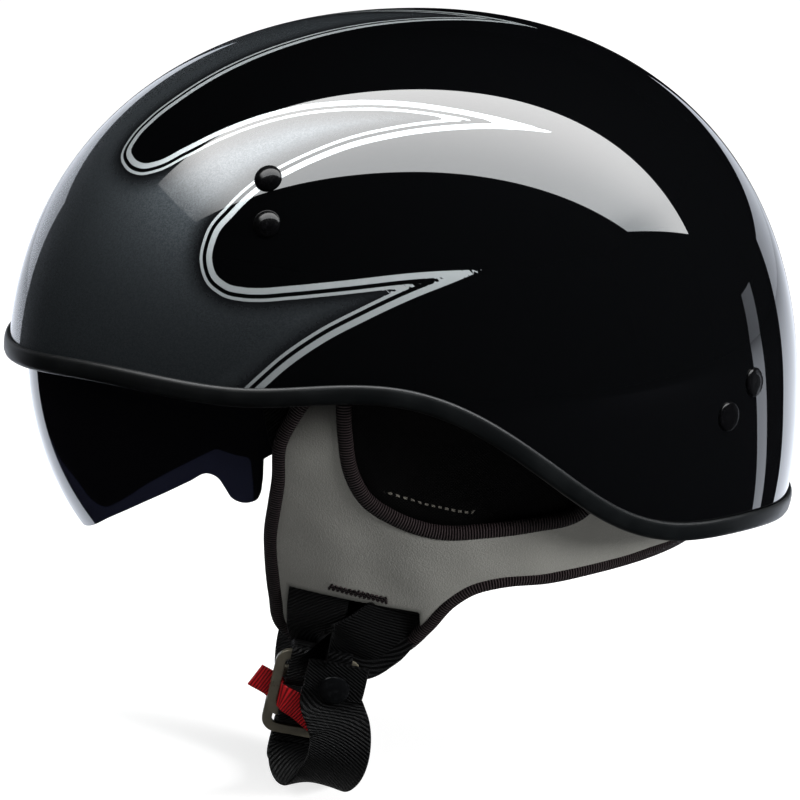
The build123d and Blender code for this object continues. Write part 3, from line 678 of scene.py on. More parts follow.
def build_rivets():
    black = enamel_finish("black_rivet", (0.0012, 0.0012, 0.0014))
    for name, profile, places, node in (
            ("domed_rivets", temple_profile, temple_rivet_places, "temple_rivets"),
            ("disc_rivets", nape_profile, nape_rivet_places, "nape_rivets")):
        rivets = turned_piece(name, profile, rivet_seats(places), black, "black_rivet", "helmet")
        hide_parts(node)
    steel = steel_finish()
    dress("temple_washers", steel)
    for side in sides:
        for node in ("nape_anchor_", "hinge_plate_", "pivot_pin_"):
            dress(node + side, steel)


build_rivets()

# The shield: a drum shaped sheet of smoke polycarbonate that turns on two pins inside the
# temples. It is nearly black, and a little less so in a band along its lower edge. A nylon
# washer runs at each pin.
pivot = np.array([-27.0, 0.0, 12.0])
shield_reach = 114.0
shield_half_width = 89.4
shield_thickness = 2.2
drum_shares = [
    (0, 1), (0.201, 0.979), (0.358, 0.934), (0.515, 0.864), (0.638, 0.781), (0.749, 0.68),
    (0.845, 0.575), (0.917, 0.465), (0.962, 0.351), (0.988, 0.228), (0.998, 0.105), (1, 0)]
shield_lower = [
    (-1.15, -0.53), (-0.98, -0.53), (-0.83, -0.517), (-0.725, -0.422), (-0.626, -0.347), (-0.552, -0.296),
    (-0.465, -0.238), (-0.41, -0.206), (-0.383, -0.214), (-0.356, -0.25), (-0.334, -0.284), (-0.3, -0.297),
    (-0.257, -0.284), (-0.24, -0.22)]
shield_arm = [(-0.237, -0.149), (-0.149, -0.096)]
shield_top = [(-0.35, 0.13), (-1.15, 0.165)]
eye_radius = 10.0
bore_radius = 2.08
shield_step = 1.2
shield_grid = 1.8
nose_arch = [(0, -30.5), (-9.5, -31), (-18, -40), (-28, -56)]
# Upper edge of the lighter band, as seen from the side, from the axle
band_edge = [
    (-104, -24.5), (-101.2, -30.4), (-94.8, -36.7), (-89.3, -43.1), (-84.8, -44.4), (-80.3, -41.4),
    (-67.9, -30.4), (-52.6, -19.4), (-43.6, -14), (-38.3, -15.5), (-31.6, -16.7), (-30.9, -23.4),
    (-30.3, -40)]
# Corners below and before the shield, which close the outline of that band, unrolled
band_corners = [(-30, -300), (-300, -300), (-300, -60)]


def evenly(line, spacing):
    """Points of a line again, about this far apart."""
    line = np.asarray(line, float)
    return spread(line, max(int(round(run_along(line)[-1] / spacing)), 1) + 1)


def skin_normals(surface, flat):
    """Normals of a surface that is given as a function of flat places."""
    small = 0.05
    along = surface(flat + (small, 0)) - surface(flat - (small, 0))
    up = surface(flat + (0, small)) - surface(flat - (0, small))
    return unit(np.cross(along, up))


def flat_cut(outline, holes, spacing):
    """Triangles that fill a flat outline less its holes, on a grid of this spacing."""
    loops = [np.asarray(loop, float) for loop in [outline, *holes]]
    low, high = loops[0].min(0), loops[0].max(0)
    grid = np.stack(np.meshgrid(np.arange(low[0], high[0], spacing),
                                np.arange(low[1], high[1], spacing)), -1)
    grid[1::2, :, 0] += spacing / 2
    grid = grid.reshape(-1, 2)
    keep = within(loops[0], grid)
    for loop in holes:
        keep &= ~within(loop, grid)
    for loop in loops:
        keep &= gap_to(np.vstack([loop, loop[:1]]), grid) > 0.6 * spacing
    places = [*loops, grid[keep]]
    edges, start = [], 0
    for loop in loops:
        edges += [(start + i, start + (i + 1) % len(loop)) for i in range(len(loop))]
        start += len(loop)
    flat = np.vstack(places)
    cut = delaunay_2d_cdt([Vector(place) for place in flat], edges, [], 0, 1e-5)
    flat = np.array([tuple(place) for place in cut[0]])
    faces = np.array([face for face in cut[2] if len(face) == 3])
    middles = flat[faces].mean(1)
    keep = within(loops[0], middles)
    for loop in holes:
        keep &= ~within(loop, middles)
    return flat, faces[keep]


def sheet_places(surface, flat, faces, thickness, depth=0.0, relief=0.0):
    """Skin, back and edge of a sheet of this thickness; relief is how far its skin is sunk."""
    outer = surface(flat)
    normal = skin_normals(surface, flat)
    middle = outer - outer.mean(0) * (1, 0, 0)
    if (normal * middle).sum() < 0:
        normal = -normal
        faces = faces[:, ::-1]
    sunk = np.broadcast_to(relief, len(flat))
    skin = outer - normal * (depth + sunk)[:, None]
    back = outer - normal * (depth + thickness - 0.4 * sunk)[:, None]
    count = len(flat)
    ends = {}
    for face in faces:
        for a, b in zip(face, np.roll(face, -1)):
            if (b, a) in ends:
                del ends[(b, a)]
            else:
                ends[(a, b)] = True
    solid = [tuple(face) for face in faces]
    solid += [tuple(face[::-1] + count) for face in faces]
    solid += [(b, a, a + count, b + count) for a, b in ends]
    return np.vstack([skin, back]), [tuple(int(i) for i in face) for face in solid]


def mirrored(places, faces):
    """A left hand form as the right hand one."""
    return np.asarray(places) * (1, -1, 1), [face[::-1] for face in faces]


drum_half = [(shield_half_width * out, shield_reach * up) for out, up in drum_shares]
drum_line = smooth_run([(-y, r) for y, r in drum_half[2:0:-1]] + drum_half
                       + [(y, -r) for y, r in drum_half[-2:-4:-1]], steps=24)
drum_line = drum_line[(drum_line[:, 0] >= -1e-6) & (drum_line[:, 1] >= -1e-6)][::-1]
drum_run = run_along(drum_line)


def drum_surface(flat):
    """Half of the drum, unrolled from its axle: flat places to places in space."""
    run = np.linalg.norm(flat, axis=1)
    radius = np.interp(run, drum_run, drum_line[:, 1])
    y = np.interp(run, drum_run, drum_line[:, 0])
    share = radius / np.maximum(run, 1e-9)
    return np.stack([pivot[0] + flat[:, 0] * share, -y, pivot[2] + flat[:, 1] * share], -1)


def unrolled(side_places):
    """Flat places of points that are given as seen from the side, from the axle."""
    side_places = np.asarray(side_places, float)
    radius = np.linalg.norm(side_places, axis=1)
    run = np.interp(radius, drum_line[:, 1], drum_run)
    return side_places * (run / np.maximum(radius, 1e-9))[:, None]


def shield_outline():
    """Outline of half the shield, unrolled: lower edge, arm, eye, upper edge, middle and nose."""
    lower = smooth_run(np.array(shield_lower) * shield_reach, steps=8)
    arm = np.array(shield_arm) * shield_reach
    eye = [(eye_radius * math.cos(a), eye_radius * math.sin(a)) for a in np.radians(np.arange(-90, 91, 6))]
    top = np.array(shield_top) * shield_reach
    side = evenly(np.vstack([lower, arm, eye, top]), 1.0)
    side = side[np.linalg.norm(side, axis=1) < shield_reach - 0.3]
    arch = smooth_run(nose_arch, steps=8)
    radius = np.interp(-arch[:, 0], drum_line[::-1, 0], drum_line[::-1, 1])
    rise = arch[:, 1] - pivot[2]
    arch = np.stack([-np.sqrt(radius ** 2 - rise ** 2), rise], -1)
    arch = arch[rise > side[0, 1] + 0.5]
    side = side[(side[:, 0] > arch[-1, 0]) | (side[:, 1] > 0)]
    turns = np.linspace(math.asin(side[-1, 1] / shield_reach), math.asin(arch[0, 1] / shield_reach), 60)
    front = np.stack([-np.cos(turns), np.sin(turns)], -1)[:-1] * shield_reach
    return evenly(unrolled(np.vstack([side, front, arch, side[:1]])), shield_step)[:-1]


def smoke_finish():
    smoke = Finish("smoke_shield", IOR=1.45)
    dark = smoke.stored("tint").step(-0.5, 0.5)
    haze = smoke.noise(25, 3)
    smoke.colour(dark, (0.009, 0.01, 0.02), (0.0015, 0.0015, 0.002))
    smoke.feed("Alpha", 0.984 + 0.013 * dark)
    smoke.feed("Roughness", 0.02 + 0.03 * haze)
    return smoke.material


def nylon_finish():
    nylon = Finish("nylon", Specular_IOR_Level=0.4)
    speck = nylon.noise(900, 3)
    nylon.colour(speck, (0.035, 0.035, 0.035), (0.07, 0.07, 0.07))
    nylon.feed("Roughness", 0.35 + 0.2 * speck)
    return nylon.material


def build_shield():
    bore = [(bore_radius * math.cos(a), bore_radius * math.sin(a)) for a in np.radians(np.arange(0, 360, 15))]
    flat, faces = flat_cut(shield_outline(), [bore], shield_grid)
    places, solid = sheet_places(drum_surface, flat, faces, shield_thickness)
    other, solid_other = mirrored(places, solid)
    solid += [tuple(i + len(places) for i in face) for face in solid_other]
    shield = make_piece("smoke_shield", np.vstack([places, other]), solid, smoke_finish(), "smoke_shield",
                        "shield")
    border = smooth_run(unrolled(band_edge), [8, 10], 6)
    below = within(np.vstack([border, band_corners]), flat)
    tint = np.clip(gap_to(border, flat) * np.where(below, -1, 1), -10, 10)
    carry(shield, "tint", np.tile(tint, 4))
    weld(shield, 0.02)
    crease(shield, 40)
    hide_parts("shield")
    nylon = nylon_finish()
    for side in sides:
        dress("pivot_washer_" + side, nylon)


build_shield()

# The neck curtain: left and right panels of grey leatherette over thin foam, sewn together at
# the nape and tucked up inside the rim. Black tape binds the edges and the ear opening, and
# the strap comes out through a slit at the jaw.
curtain_inset = 8.0
curtain_narrowing = 41.0
curtain_height = 107.0
curtain_start = 20.0
curtain_power = 1.467
curtain_thickness = 3.5
curtain_under = 5.5
nape_seam = 0.3
binding_width = 4.0
binding_proud = 0.5
tape_width = 5.6
curtain_front = [
    (-0.226, 0.2), (-0.269, 0.16), (-0.303, 0.102), (-0.334, 0.029), (-0.342, -0.087), (-0.352, -0.16),
    (-0.362, -0.24), (-0.362, -0.326), (-0.354, -0.444), (-0.341, -0.532)]
curtain_lower = [
    (-0.314, -0.568), (-0.202, -0.61), (-0.082, -0.615), (-0.03, -0.596), (0.036, -0.528),
    (0.099, -0.449), (0.148, -0.415), (0.216, -0.398), (0.346, -0.397), (0.469, -0.386),
    (0.598, -0.377), (0.793, -0.368), (1.02, -0.362)]
ear_edge = [
    (-0.158, 0.22), (-0.157, 0.051), (-0.141, -0.058), (-0.112, -0.12), (-0.044, -0.175), (0.058, -0.213),
    (0.18, -0.213), (0.303, -0.204), (0.411, -0.186), (0.48, -0.1)]
slit_corners = [(-0.306, -0.403), (0.008, -0.467), (0.012, -0.567), (-0.306, -0.512)]
lining_thickness = 1.2
# How far the leather and the mesh run in under the tape, and the room between the two
leather_under = 1.5
mesh_under = 3.2
mesh_room = 0.8
# The leather sinks this deep at the tape's stitches and in its folds, each over its own reach
stitch_pull, stitch_reach = 0.9, 3.0
fold_depth, fold_reach = 0.75, 7.0
# The mesh hangs hollow by this much, once it is this far in, and has small waves as well
mesh_hollow, mesh_flat, mesh_reach, mesh_wave = 2.2, 4, 10, 0.4
# Seam across the mesh, and the ends and size of the bar tack, as seen from the side
seam_line = [(-10, -17.3), (-2.3, -20.3), (4.7, -22.6), (11.8, -24.4), (21, -26)]
bartack_ends = [(-30.9, -53.9), (-10.4, -59)]
bartack_turns, bartack_reach, bartack_thread = 27, 1.2, 1.0
edge_step = 1.5
leather_grid, mesh_grid = 2.0, 2.5


def shared_places(shares):
    """Places seen from the side, from shares of the dome's lengths and height."""
    return np.array([(x * (front_length if x < 0 else rear_length), z * crown_height) for x, z in shares])


def shifted(line, distance):
    """Move an open line sideways, up where the distance is positive and it runs rearwards."""
    ahead = unit(np.gradient(line, axis=0))
    return line + distance * np.stack([-ahead[:, 1], ahead[:, 0]], -1)


def curtain_radius(z):
    drop = np.clip((curtain_start - z) / curtain_height, 0, None)
    return half_width - curtain_inset - curtain_narrowing * drop ** curtain_power


def curtain_surface(flat):
    """Left half of the curtain's skin, from flat places: distance round from the nape, height."""
    turn = flat[:, 0] / half_width
    radius = curtain_radius(flat[:, 1])
    length = np.where(np.cos(turn) < 0, front_length, rear_length)
    stretch = (length - curtain_inset) / (half_width - curtain_inset)
    return np.stack([stretch * radius * np.cos(turn), -radius * np.sin(turn), flat[:, 1]], -1)


def curtain_skin(flat):
    """Places on the curtain's skin and their outward normals."""
    skin = curtain_surface(flat)
    normal = skin_normals(curtain_surface, flat)
    return skin, normal * np.sign((normal * skin * (1, 1, 0)).sum(1, keepdims=True))


def curtain_flat(side_places):
    """Flat places of points on the curtain that are given as seen from the side."""
    x, z = np.asarray(side_places, float).T
    length = np.where(x < 0, front_length, rear_length)
    stretch = (length - curtain_inset) / (half_width - curtain_inset)
    share = np.clip(x / (stretch * curtain_radius(z)), -1, 1)
    return np.stack([np.arccos(share) * half_width, z], -1)


def under_rim(around):
    """Flat places along the curtain's hidden upper edge, this far round from the nape."""
    height = np.full(len(around), 20.0)
    for _ in range(12):
        x = curtain_surface(np.stack([around, height], -1))[:, 0]
        height = rim_height(x) + curtain_under
    return np.stack([around, height], -1)


def below_rim(flat, lift=0.0):
    """The flat places that lie below the hidden upper edge, or no more than a lift above it."""
    return flat[flat[:, 1] < under_rim(flat[:, 0])[:, 1] + lift]


def curtain_edge(margin):
    """Flat places down the front edge and back along the lower edge, drawn in by a margin."""
    places = np.vstack([shared_places(curtain_front), shared_places(curtain_lower)])
    flat = curtain_flat(shifted(smooth_run(places, steps=12), margin))
    return evenly(flat[flat[:, 0] > nape_seam], edge_step)


def ear_line(margin):
    """Flat places round the ear opening, from the front to the back, widened by a margin."""
    places = smooth_run(shared_places(ear_edge), steps=12)
    return evenly(curtain_flat(shifted(places, -margin)), edge_step)


def leather_finish():
    """Fine pebble grain, with painted shade in soft creases, along the taped edges where they are pulled in,
    and under the trim at the front.
    """
    leather = Finish("grey_leather", Specular_IOR_Level=0.08)
    pebble = leather.cells(1500)
    grain = leather.noise(2600, 3, 0.7)
    crease = leather.noise(70, 3, 0.5)
    edge = leather.stored("edge_gap")
    tone = leather.blend(grain.step(0.3, 0.7), (0.125, 0.124, 0.114), (0.17, 0.169, 0.157))
    # painted shade: soft creases drawn only as a slightly darker colour in noise patches
    crease_shaded = leather.blend(crease.step(0.3, 0.75), tone, (0.14, 0.139, 0.128))
    # painted shade: the leather is darker within a few millimetres of the taped edges and the slit, where it
    # is pulled in
    tape_shaded = leather.blend(edge.step(0.6, 3.2), (0.07, 0.07, 0.064), crease_shaded)
    # painted shade: nearly black just under the trim at the front, fading out over about 22 mm of drop
    leather.colour(leather.stored("rim_shade_drop").step(2, 24), (0.02, 0.02, 0.018), tape_shaded)
    leather.feed("Roughness", 0.5 + 0.12 * grain)
    leather.bump(0.6 * pebble + 0.5 * grain, 0.00025, 0.6)
    return leather.material


def tape_finish():
    """Black woven tape with a cross rib."""
    tape = Finish("binding_tape", Specular_IOR_Level=0.2)
    rib = (tape.parts(tape.stored("lay", "Vector"))[1] * 6.3).wave()
    nap = tape.noise(1500, 2)
    tape.colour(rib.step(-0.6, 0.9), (0.0028, 0.0022, 0.0024), (0.03, 0.0225, 0.0235))
    tape.feed("Roughness", 0.65 + 0.2 * nap)
    tape.bump(0.7 * rib + 0.3 * nap, 0.0005, 1.0)
    return tape.material


def section_faces(count, around):
    """Skin and two ends of a closed section carried along a line."""
    faces = []
    for a in range(0, (count - 1) * around, around):
        for j in range(around):
            beside = (j + 1) % around
            faces.append((a + j, a + beside, a + around + beside, a + around + j))
    faces.append(tuple(reversed(range(around))))
    faces.append(tuple(range((count - 1) * around, count * around)))
    return faces


def band_places(line, across, up, widths, thicknesses, bow=0.0, cells=10):
    """A flat band with rounded edges along a line, and each place's lay across and along it."""
    run = run_along(line)
    places, lay = [], []
    rounding = np.radians(np.arange(-67.5, 68, 22.5))
    for i in range(len(line)):
        half, thick = widths[i] / 2, thicknesses[i] / 2
        flat = half - thick
        section = [(s, thick) for s in np.linspace(-flat, flat, cells)]
        section += [(flat + thick * math.cos(a), thick * math.sin(a)) for a in rounding[::-1]]
        section += [(s, -thick) for s in np.linspace(flat, -flat, cells)]
        section += [(-flat - thick * math.cos(a), thick * math.sin(a)) for a in rounding]
        for s, h in section:
            lift = h + bow * (1 - (s / half) ** 2)
            places.append(line[i] + s * across[i] + lift * up[i])
            lay.append((s, run[i], 1.0 if h > 0 else -1.0))
    return np.array(places), np.array(lay), len(section)


def make_band(name, line, across, widths, thicknesses, finish, slot, body, bow=0.0, side=1, cells=10):
    """Band as a piece; side -1 is its mirror image on the right. Widths can be one for all."""
    line, across = np.asarray(line, float), np.asarray(across, float)
    widths, thicknesses = (np.broadcast_to(size, len(line)) for size in (widths, thicknesses))
    ahead = unit(np.gradient(line, axis=0))
    across = unit(across - ahead * (across * ahead).sum(1, keepdims=True))
    up = np.cross(ahead, across)
    places, lay, around = band_places(line, across, up, widths, thicknesses, bow, cells)
    faces = section_faces(len(line), around)
    if side < 0:
        places, faces = mirrored(places, faces)
    band = make_piece(name, places, faces, finish, slot, body)
    carry(band, "lay", lay)
    crease(band, 60)
    return band


def edge_tape(name, flat, side, finish):
    """Tape folded over an edge of the curtain."""
    skin, normal = curtain_skin(flat)
    line = skin - normal * curtain_thickness / 2
    across = np.cross(normal, np.gradient(line, axis=0))
    return make_band(name, line, across, tape_width, curtain_thickness + 2 * binding_proud, finish,
                     "binding_tape", "helmet", side=side, cells=3)


def leather_relief(flat, gap):
    """How far the leather sinks: pulled in by the tape's stitches, and in soft folds between."""
    around, up = flat.T
    ripple = (np.sin(around / 9.5 + up / 13 + 0.4) * np.sin(up / 10.0 - around / 19 + 0.8)
              + 0.35 * np.sin(around / 4.6 - up / 6.3 + 1.3) * np.sin(up / 7.7 + around / 23))
    folds = fold_depth * (1 + ripple) * (1 - np.exp(-gap / fold_reach))
    return stitch_pull * np.exp(-gap / stitch_reach) + folds


def build_curtain():
    leather = leather_finish()
    tape = tape_finish()
    lining = lining_finish()
    # the ear opening reaches the hidden edge, so the panel is one outline round it
    inside = below_rim(ear_line(leather_under))
    before = below_rim(curtain_edge(leather_under), -0.5)
    top = under_rim(np.linspace(before[-1, 0], before[0, 0], 200))
    rear = top[top[:, 0] < inside[-1, 0]]
    front = top[top[:, 0] > inside[0, 0]]
    slit = evenly(curtain_flat(shared_places([*slit_corners, slit_corners[0]])), edge_step)
    flat, faces = flat_cut(np.vstack([before, rear, inside[::-1], front]), [slit[:-1]], leather_grid)
    gap = np.minimum(gap_to(np.vstack([before, rear[:1]]), flat), gap_to(inside, flat))
    gap = np.minimum(gap, gap_to(slit, flat) + 1.0)
    panel = sheet_places(curtain_surface, flat, faces, curtain_thickness, relief=leather_relief(flat, gap))
    # drop below the rim, growing towards the rear: it sets the painted shade under the trim
    rim_shade_drop = rim_height(panel[0][:, 0]) - panel[0][:, 2] + np.clip(panel[0][:, 0], 0, 30)
    edge = below_rim(curtain_edge(binding_width / 2), 1)
    opening = below_rim(ear_line(binding_width / 2), 1)
    for name, side in sides.items():
        shape = panel if side > 0 else mirrored(*panel)
        curtain = make_piece("leather_curtain_" + name, *shape, leather, "grey_leather", "helmet")
        carry(curtain, "edge_gap", np.tile(gap, 2))
        carry(curtain, "rim_shade_drop", rim_shade_drop)
        crease(curtain, 60)
        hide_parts("neck_curtain_" + name)
        outer = edge_tape("edge_tape_" + name, edge, side, tape)
        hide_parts("curtain_binding_" + name)
        inner = edge_tape("ear_tape_" + name, opening, side, tape)
        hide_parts("ear_binding_" + name)
        build_bartack(name, side, tape)
        back = build_lining(name, side, lining)


def build_bartack(name, side, thread):
    """Zigzag of black thread that stops the slit's upper edge from tearing."""
    start, end = np.array(bartack_ends)
    along = end - start
    above = bartack_reach * unit([-along[1], along[0]])
    zigzag = [start + along * share + (above if i % 2 else -above)
              for i, share in enumerate(np.linspace(0, 1, bartack_turns))]
    skin, normal = curtain_skin(curtain_flat(evenly(zigzag, bartack_thread / 2)))
    line = skin - 0.45 * bartack_thread * normal
    make_band("bartack_" + name, line, np.cross(normal, np.gradient(skin, axis=0)), bartack_thread,
              bartack_thread, thread, "binding_tape", "helmet", side=side, cells=2)


def lining_finish():
    """Black spacer mesh: fine holes in rows, a slight shine on the yarn and one pale seam."""
    mesh = Finish("lining_mesh", Specular_IOR_Level=0.25)
    x, y, z = mesh.parts(mesh.place())
    rows = (x * 5200).wave() * (z * 5200).wave()
    fold = mesh.noise(60, 4)
    off, along, share = mesh.parts(mesh.stored("seam", "Vector"))
    stitch = share * (1 - abs(off).step(0.3, 0.55)) * (along * 2.6).wave().step(-0.3, 0.2)
    yarn = mesh.blend(rows.step(-0.2, 0.7), (0.0012, 0.0012, 0.0012), (0.0045, 0.0045, 0.0047))
    mesh.colour(stitch, yarn, (0.1, 0.094, 0.08))
    mesh.feed("Roughness", 0.5 + 0.3 * fold)
    mesh.bump(rows * 0.3 + fold, 0.0004, 0.6)
    return mesh.material


def build_lining(name, side, finish):
    low = below_rim(ear_line(mesh_under))
    roof = under_rim(np.linspace(low[-1, 0], low[0, 0], 60))
    flat, faces = flat_cut(np.vstack([low, roof[1:-1]]), [], mesh_grid)
    inward = np.clip(gap_to(low, flat) - mesh_flat, 0, None)
    wave = mesh_wave * np.sin(flat[:, 0] / 5 + flat[:, 1] / 9)
    relief = mesh_hollow * (1 - np.exp(-inward / mesh_reach)) + wave
    depth = curtain_thickness + binding_proud + mesh_room
    shape = sheet_places(curtain_surface, flat, faces, lining_thickness, depth, relief)
    if side < 0:
        shape = mirrored(*shape)
    lining = make_piece("ear_mesh_" + name, *shape, finish, "pad_cloth", "helmet")
    seam = curtain_flat(smooth_run(seam_line))
    above = within(np.vstack([seam, [(0, 60), (300, 60)]]), flat)
    off = gap_to(seam, flat) * np.where(above, 1, -1)
    on = (flat[:, 0] < seam[0, 0]) & (flat[:, 0] > seam[-1, 0])
    carry(lining, "seam", np.tile(np.stack([off, flat[:, 0], on], -1), (2, 1)))
    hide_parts("ear_lining_" + name)
    return lining


build_curtain()

# The strap legs: woven nylon from the temple rivets and from the nape rivets, running inside
# the curtain to the slit at the jaw. A sewn junction joins both legs above the buckle.
webbing_width = 22.0
webbing_thickness = 1.6
front_leg_shares = [
    (-0.352, 0.74), (-0.352, 0.63), (-0.35, 0.5), (-0.343, 0.43), (-0.325, 0.3), (-0.285, 0.087),
    (-0.277, 0.044), (-0.262, -0.01), (-0.258, -0.05), (-0.246, -0.15), (-0.232, -0.25),
    (-0.224, -0.31), (-0.23, -0.352)]
rear_leg_shares = [
    (0.885, 0.14), (0.81, 0.05), (0.72, -0.06), (0.63, -0.16), (0.52, -0.25), (0.4, -0.31),
    (0.28, -0.335), (0.17, -0.345), (0.075, -0.37)]
# Heights at which the front leg leaves the shell and enters the curtain, and the rear leg does
# both at once; how far out the front leg passes the liner; and the room over each leg
front_leg_leave, front_leg_enter = 50, 2
rear_leg_enter = -12
front_leg_pass = 92.9
front_leg_room, rear_leg_room = 1.2, 0.6


def curtain_side(x, z, depth):
    """Place this deep inside the curtain's skin on the left, as seen from the side, and its normal."""
    length = front_length if x < 0 else rear_length
    stretch = (length - curtain_inset) / (half_width - curtain_inset)
    radius = float(curtain_radius(np.array(z))) - depth
    y = math.sqrt(max(radius ** 2 - (x / stretch) ** 2, 0))
    drop = max((curtain_start - z) / curtain_height, 0)
    slope = curtain_narrowing * curtain_power / curtain_height * drop ** (curtain_power - 1)
    return np.array([x, -y, z]), unit([x / stretch ** 2, -y, -radius * slope])


def webbing_finish():
    """Black nylon woven in fine diagonal ribs, and only a slight shine."""
    nylon = Finish("webbing", Specular_IOR_Level=0.22)
    across, along, _ = nylon.parts(nylon.stored("lay", "Vector"))
    twill = (along * 5.2 + across * 3.0).wave()
    yarn = (along * 11.0).wave() * (across * 9.0).wave()
    nap = nylon.noise(1400, 2)
    light = twill.step(-0.5, 0.95) * (0.5 + 0.5 * nap)
    nylon.colour(light, (0.0012, 0.0012, 0.0013), (0.0075, 0.0077, 0.008))
    nylon.feed("Roughness", 0.46 + 0.2 * nap)
    nylon.bump(0.6 * twill + 0.25 * yarn + 0.3 * nap, 0.00035, 0.8)
    return nylon.material


webbing = webbing_finish()


def leg_across(points, normals):
    """Directions across a leg's webbing, which lies flat on the surface with these normals."""
    return np.cross(normals, np.gradient(points, axis=0))


def strap(name, points, across, widths, node, body="helmet", side=1, steps=8):
    """Woven strap through the points of the frame's own strap. The width can be one for all."""
    widths = np.broadcast_to(widths, len(points))
    line = smooth_run(np.column_stack([points, unit(across) * 5, widths]), steps=steps)
    piece = make_band(name, line[:, :3], line[:, 3:6], line[:, 6], webbing_thickness, webbing, "webbing",
                      body, side=side)
    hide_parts(node)
    return piece


def on_shell(x, z, depth):
    place = dome_side(x, z, depth)
    return place, dome_normal(place)


def front_leg_place(x, z):
    """Place and normal of the front leg: inside the curtain, past the liner or on the shell."""
    if z < front_leg_enter:
        return curtain_side(x, z, curtain_thickness + binding_proud + webbing_thickness + front_leg_room)
    if z < front_leg_leave:
        return np.array([x, -front_leg_pass, z]), np.array([0.0, -1.0, 0.0])
    return on_shell(x, z, shell_thickness + front_leg_room + webbing_thickness / 2)


def rear_leg_place(x, z):
    """Place and normal of the rear leg: on the shell or inside the curtain's lining."""
    if z > rear_leg_enter:
        return on_shell(x, z, shell_thickness + rear_leg_room + webbing_thickness / 2)
    return curtain_side(x, z, curtain_thickness + binding_proud + rear_leg_room + lining_thickness
                        + webbing_thickness)


def build_legs():
    for side_name, side in sides.items():
        for leg, shares, leg_place in (("front", front_leg_shares, front_leg_place),
                                       ("rear", rear_leg_shares, rear_leg_place)):
            points, normals = map(np.array, zip(*[leg_place(x, z) for x, z in shared_places(shares)]))
            strap(f"{leg}_strap_{side_name}", points, leg_across(points, normals), webbing_width,
                  f"{leg}_leg_{side_name}", side=side)


build_legs()

# The buckle: two stamped nickel rings held in a folded loop of webbing below the junction.
# Its own frame leans in with the jaw and tilts forward.
lean, tilt = math.radians(12), math.radians(12)
buckle_middle = np.array([-35.7, -70.5, -89.9])
buckle_out = np.array([0, -math.cos(lean), -math.sin(lean)])
buckle_up = np.array([0, -math.sin(lean), math.cos(lean)])
buckle_level = unit(np.array([math.cos(tilt), 0, 0]) - buckle_up * math.sin(tilt))
buckle_up = np.cross(buckle_out, buckle_level)
ring_width, ring_height, ring_bar = 31.5, 27.0, 3.5
ring_thickness, ring_gap = 1.8, 1.4
loop_top, loop_bottom = 12.6, -2.2
ring_level = (ring_thickness + ring_gap) / 2
fit_gap = 0.1
ring_face = ring_level + ring_thickness / 2 + fit_gap
# Where the sewn ends stop above the loop, and how far out each of them lies there
junction_end = loop_top + 0.6
backing_out, front_out, rear_out = -1.8, -0.6, 1.2
# The legs through the slit, as (x, z, depth inside the curtain's skin)
front_junction = [
    (-30.5, -44, 6.2), (-33, -52, 4.4), (-34.7, -58.5, 1.4), (-35.4, -66, -1.5), (-35.6, -72, -3)]
rear_junction = [
    (12, -49.5, 6.8), (4, -55.5, 6), (-4, -62.4, 4.8), (-12, -69, 0.4), (-19.5, -74, -4.2),
    (-26.5, -77.4, -5.6)]
junction_backing = [(-20, -57.7, 8.2), (-20.5, -66.2, 5.2), (-24, -71.7, 1.6), (-28.5, -74.9, -1.4)]
backing_widths = [46, 46, 41, 35, 22]


def buckle_place(x, y, z):
    """Place from the buckle's own frame: level, up and out."""
    return buckle_middle + x * buckle_level + y * buckle_up + z * buckle_out


def nickel_finish():
    nickel = Finish("satin_nickel", Metallic=0.45)
    brush = nickel.noise(3000, 2, 0.7)
    stain = nickel.noise(160, 4, 0.6)
    nickel.colour(stain, (0.1, 0.09, 0.066), (0.2, 0.183, 0.14))
    nickel.feed("Roughness", 0.2 + 0.18 * stain)
    nickel.bump(brush, 0.00002)
    return nickel.material


def build_junction():
    """The ends of both legs and the wider piece behind them, sewn together above the rings."""
    front_corner, rear_corner = shared_places(slit_corners[:2])
    slant = unit([rear_corner[0] - front_corner[0], 0, rear_corner[1] - front_corner[1]])
    backing, normals = zip(*[curtain_side(*place) for place in junction_backing])
    backing = [*backing, buckle_place(0, junction_end, backing_out)]
    across = [slant - normal * slant.dot(normal) for normal in normals] + [buckle_level]
    bands = [("junction_backing", backing, across, backing_widths)]
    for leg, route, out in (("front", front_junction, front_out), ("rear", rear_junction, rear_out)):
        points, normals = zip(*[curtain_side(*place) for place in route])
        points = np.array([*points, buckle_place(0, junction_end, out)])
        across = leg_across(points, np.array([*normals, buckle_out]))
        across[-1] = -buckle_level
        bands.append((leg + "_junction", points, across, webbing_width))
    for name, points, across, widths in bands:
        for side_name, side in sides.items():
            strap(f"{name}_{side_name}", points, across, widths, "strap_yoke_" + side_name, side=side)


def build_buckle():
    nickel = nickel_finish()
    dress("ring_upper", nickel)
    dress("ring_lower", nickel)
    build_junction()
    half = ring_face + webbing_thickness / 2
    round_by = webbing_thickness
    low, high = (end - webbing_thickness / 2 for end in (loop_bottom, loop_top))
    front = [(high, half - round_by), (high - 0.5 * round_by, half - 0.15), (high - round_by, half),
             ((low + high) / 2, half), (low + round_by, half), (low + 0.4 * round_by, half - 0.4),
             (low, half - round_by)]
    behind = [(up, -out) for up, out in reversed(front)]
    points = [buckle_place(0, up, out) for up, out in front + behind]
    points.append(points[0] + 0.02 * buckle_up)
    strap("keeper_loop", points, [buckle_level] * len(points), webbing_width, "ring_loop", steps=5)


build_buckle()

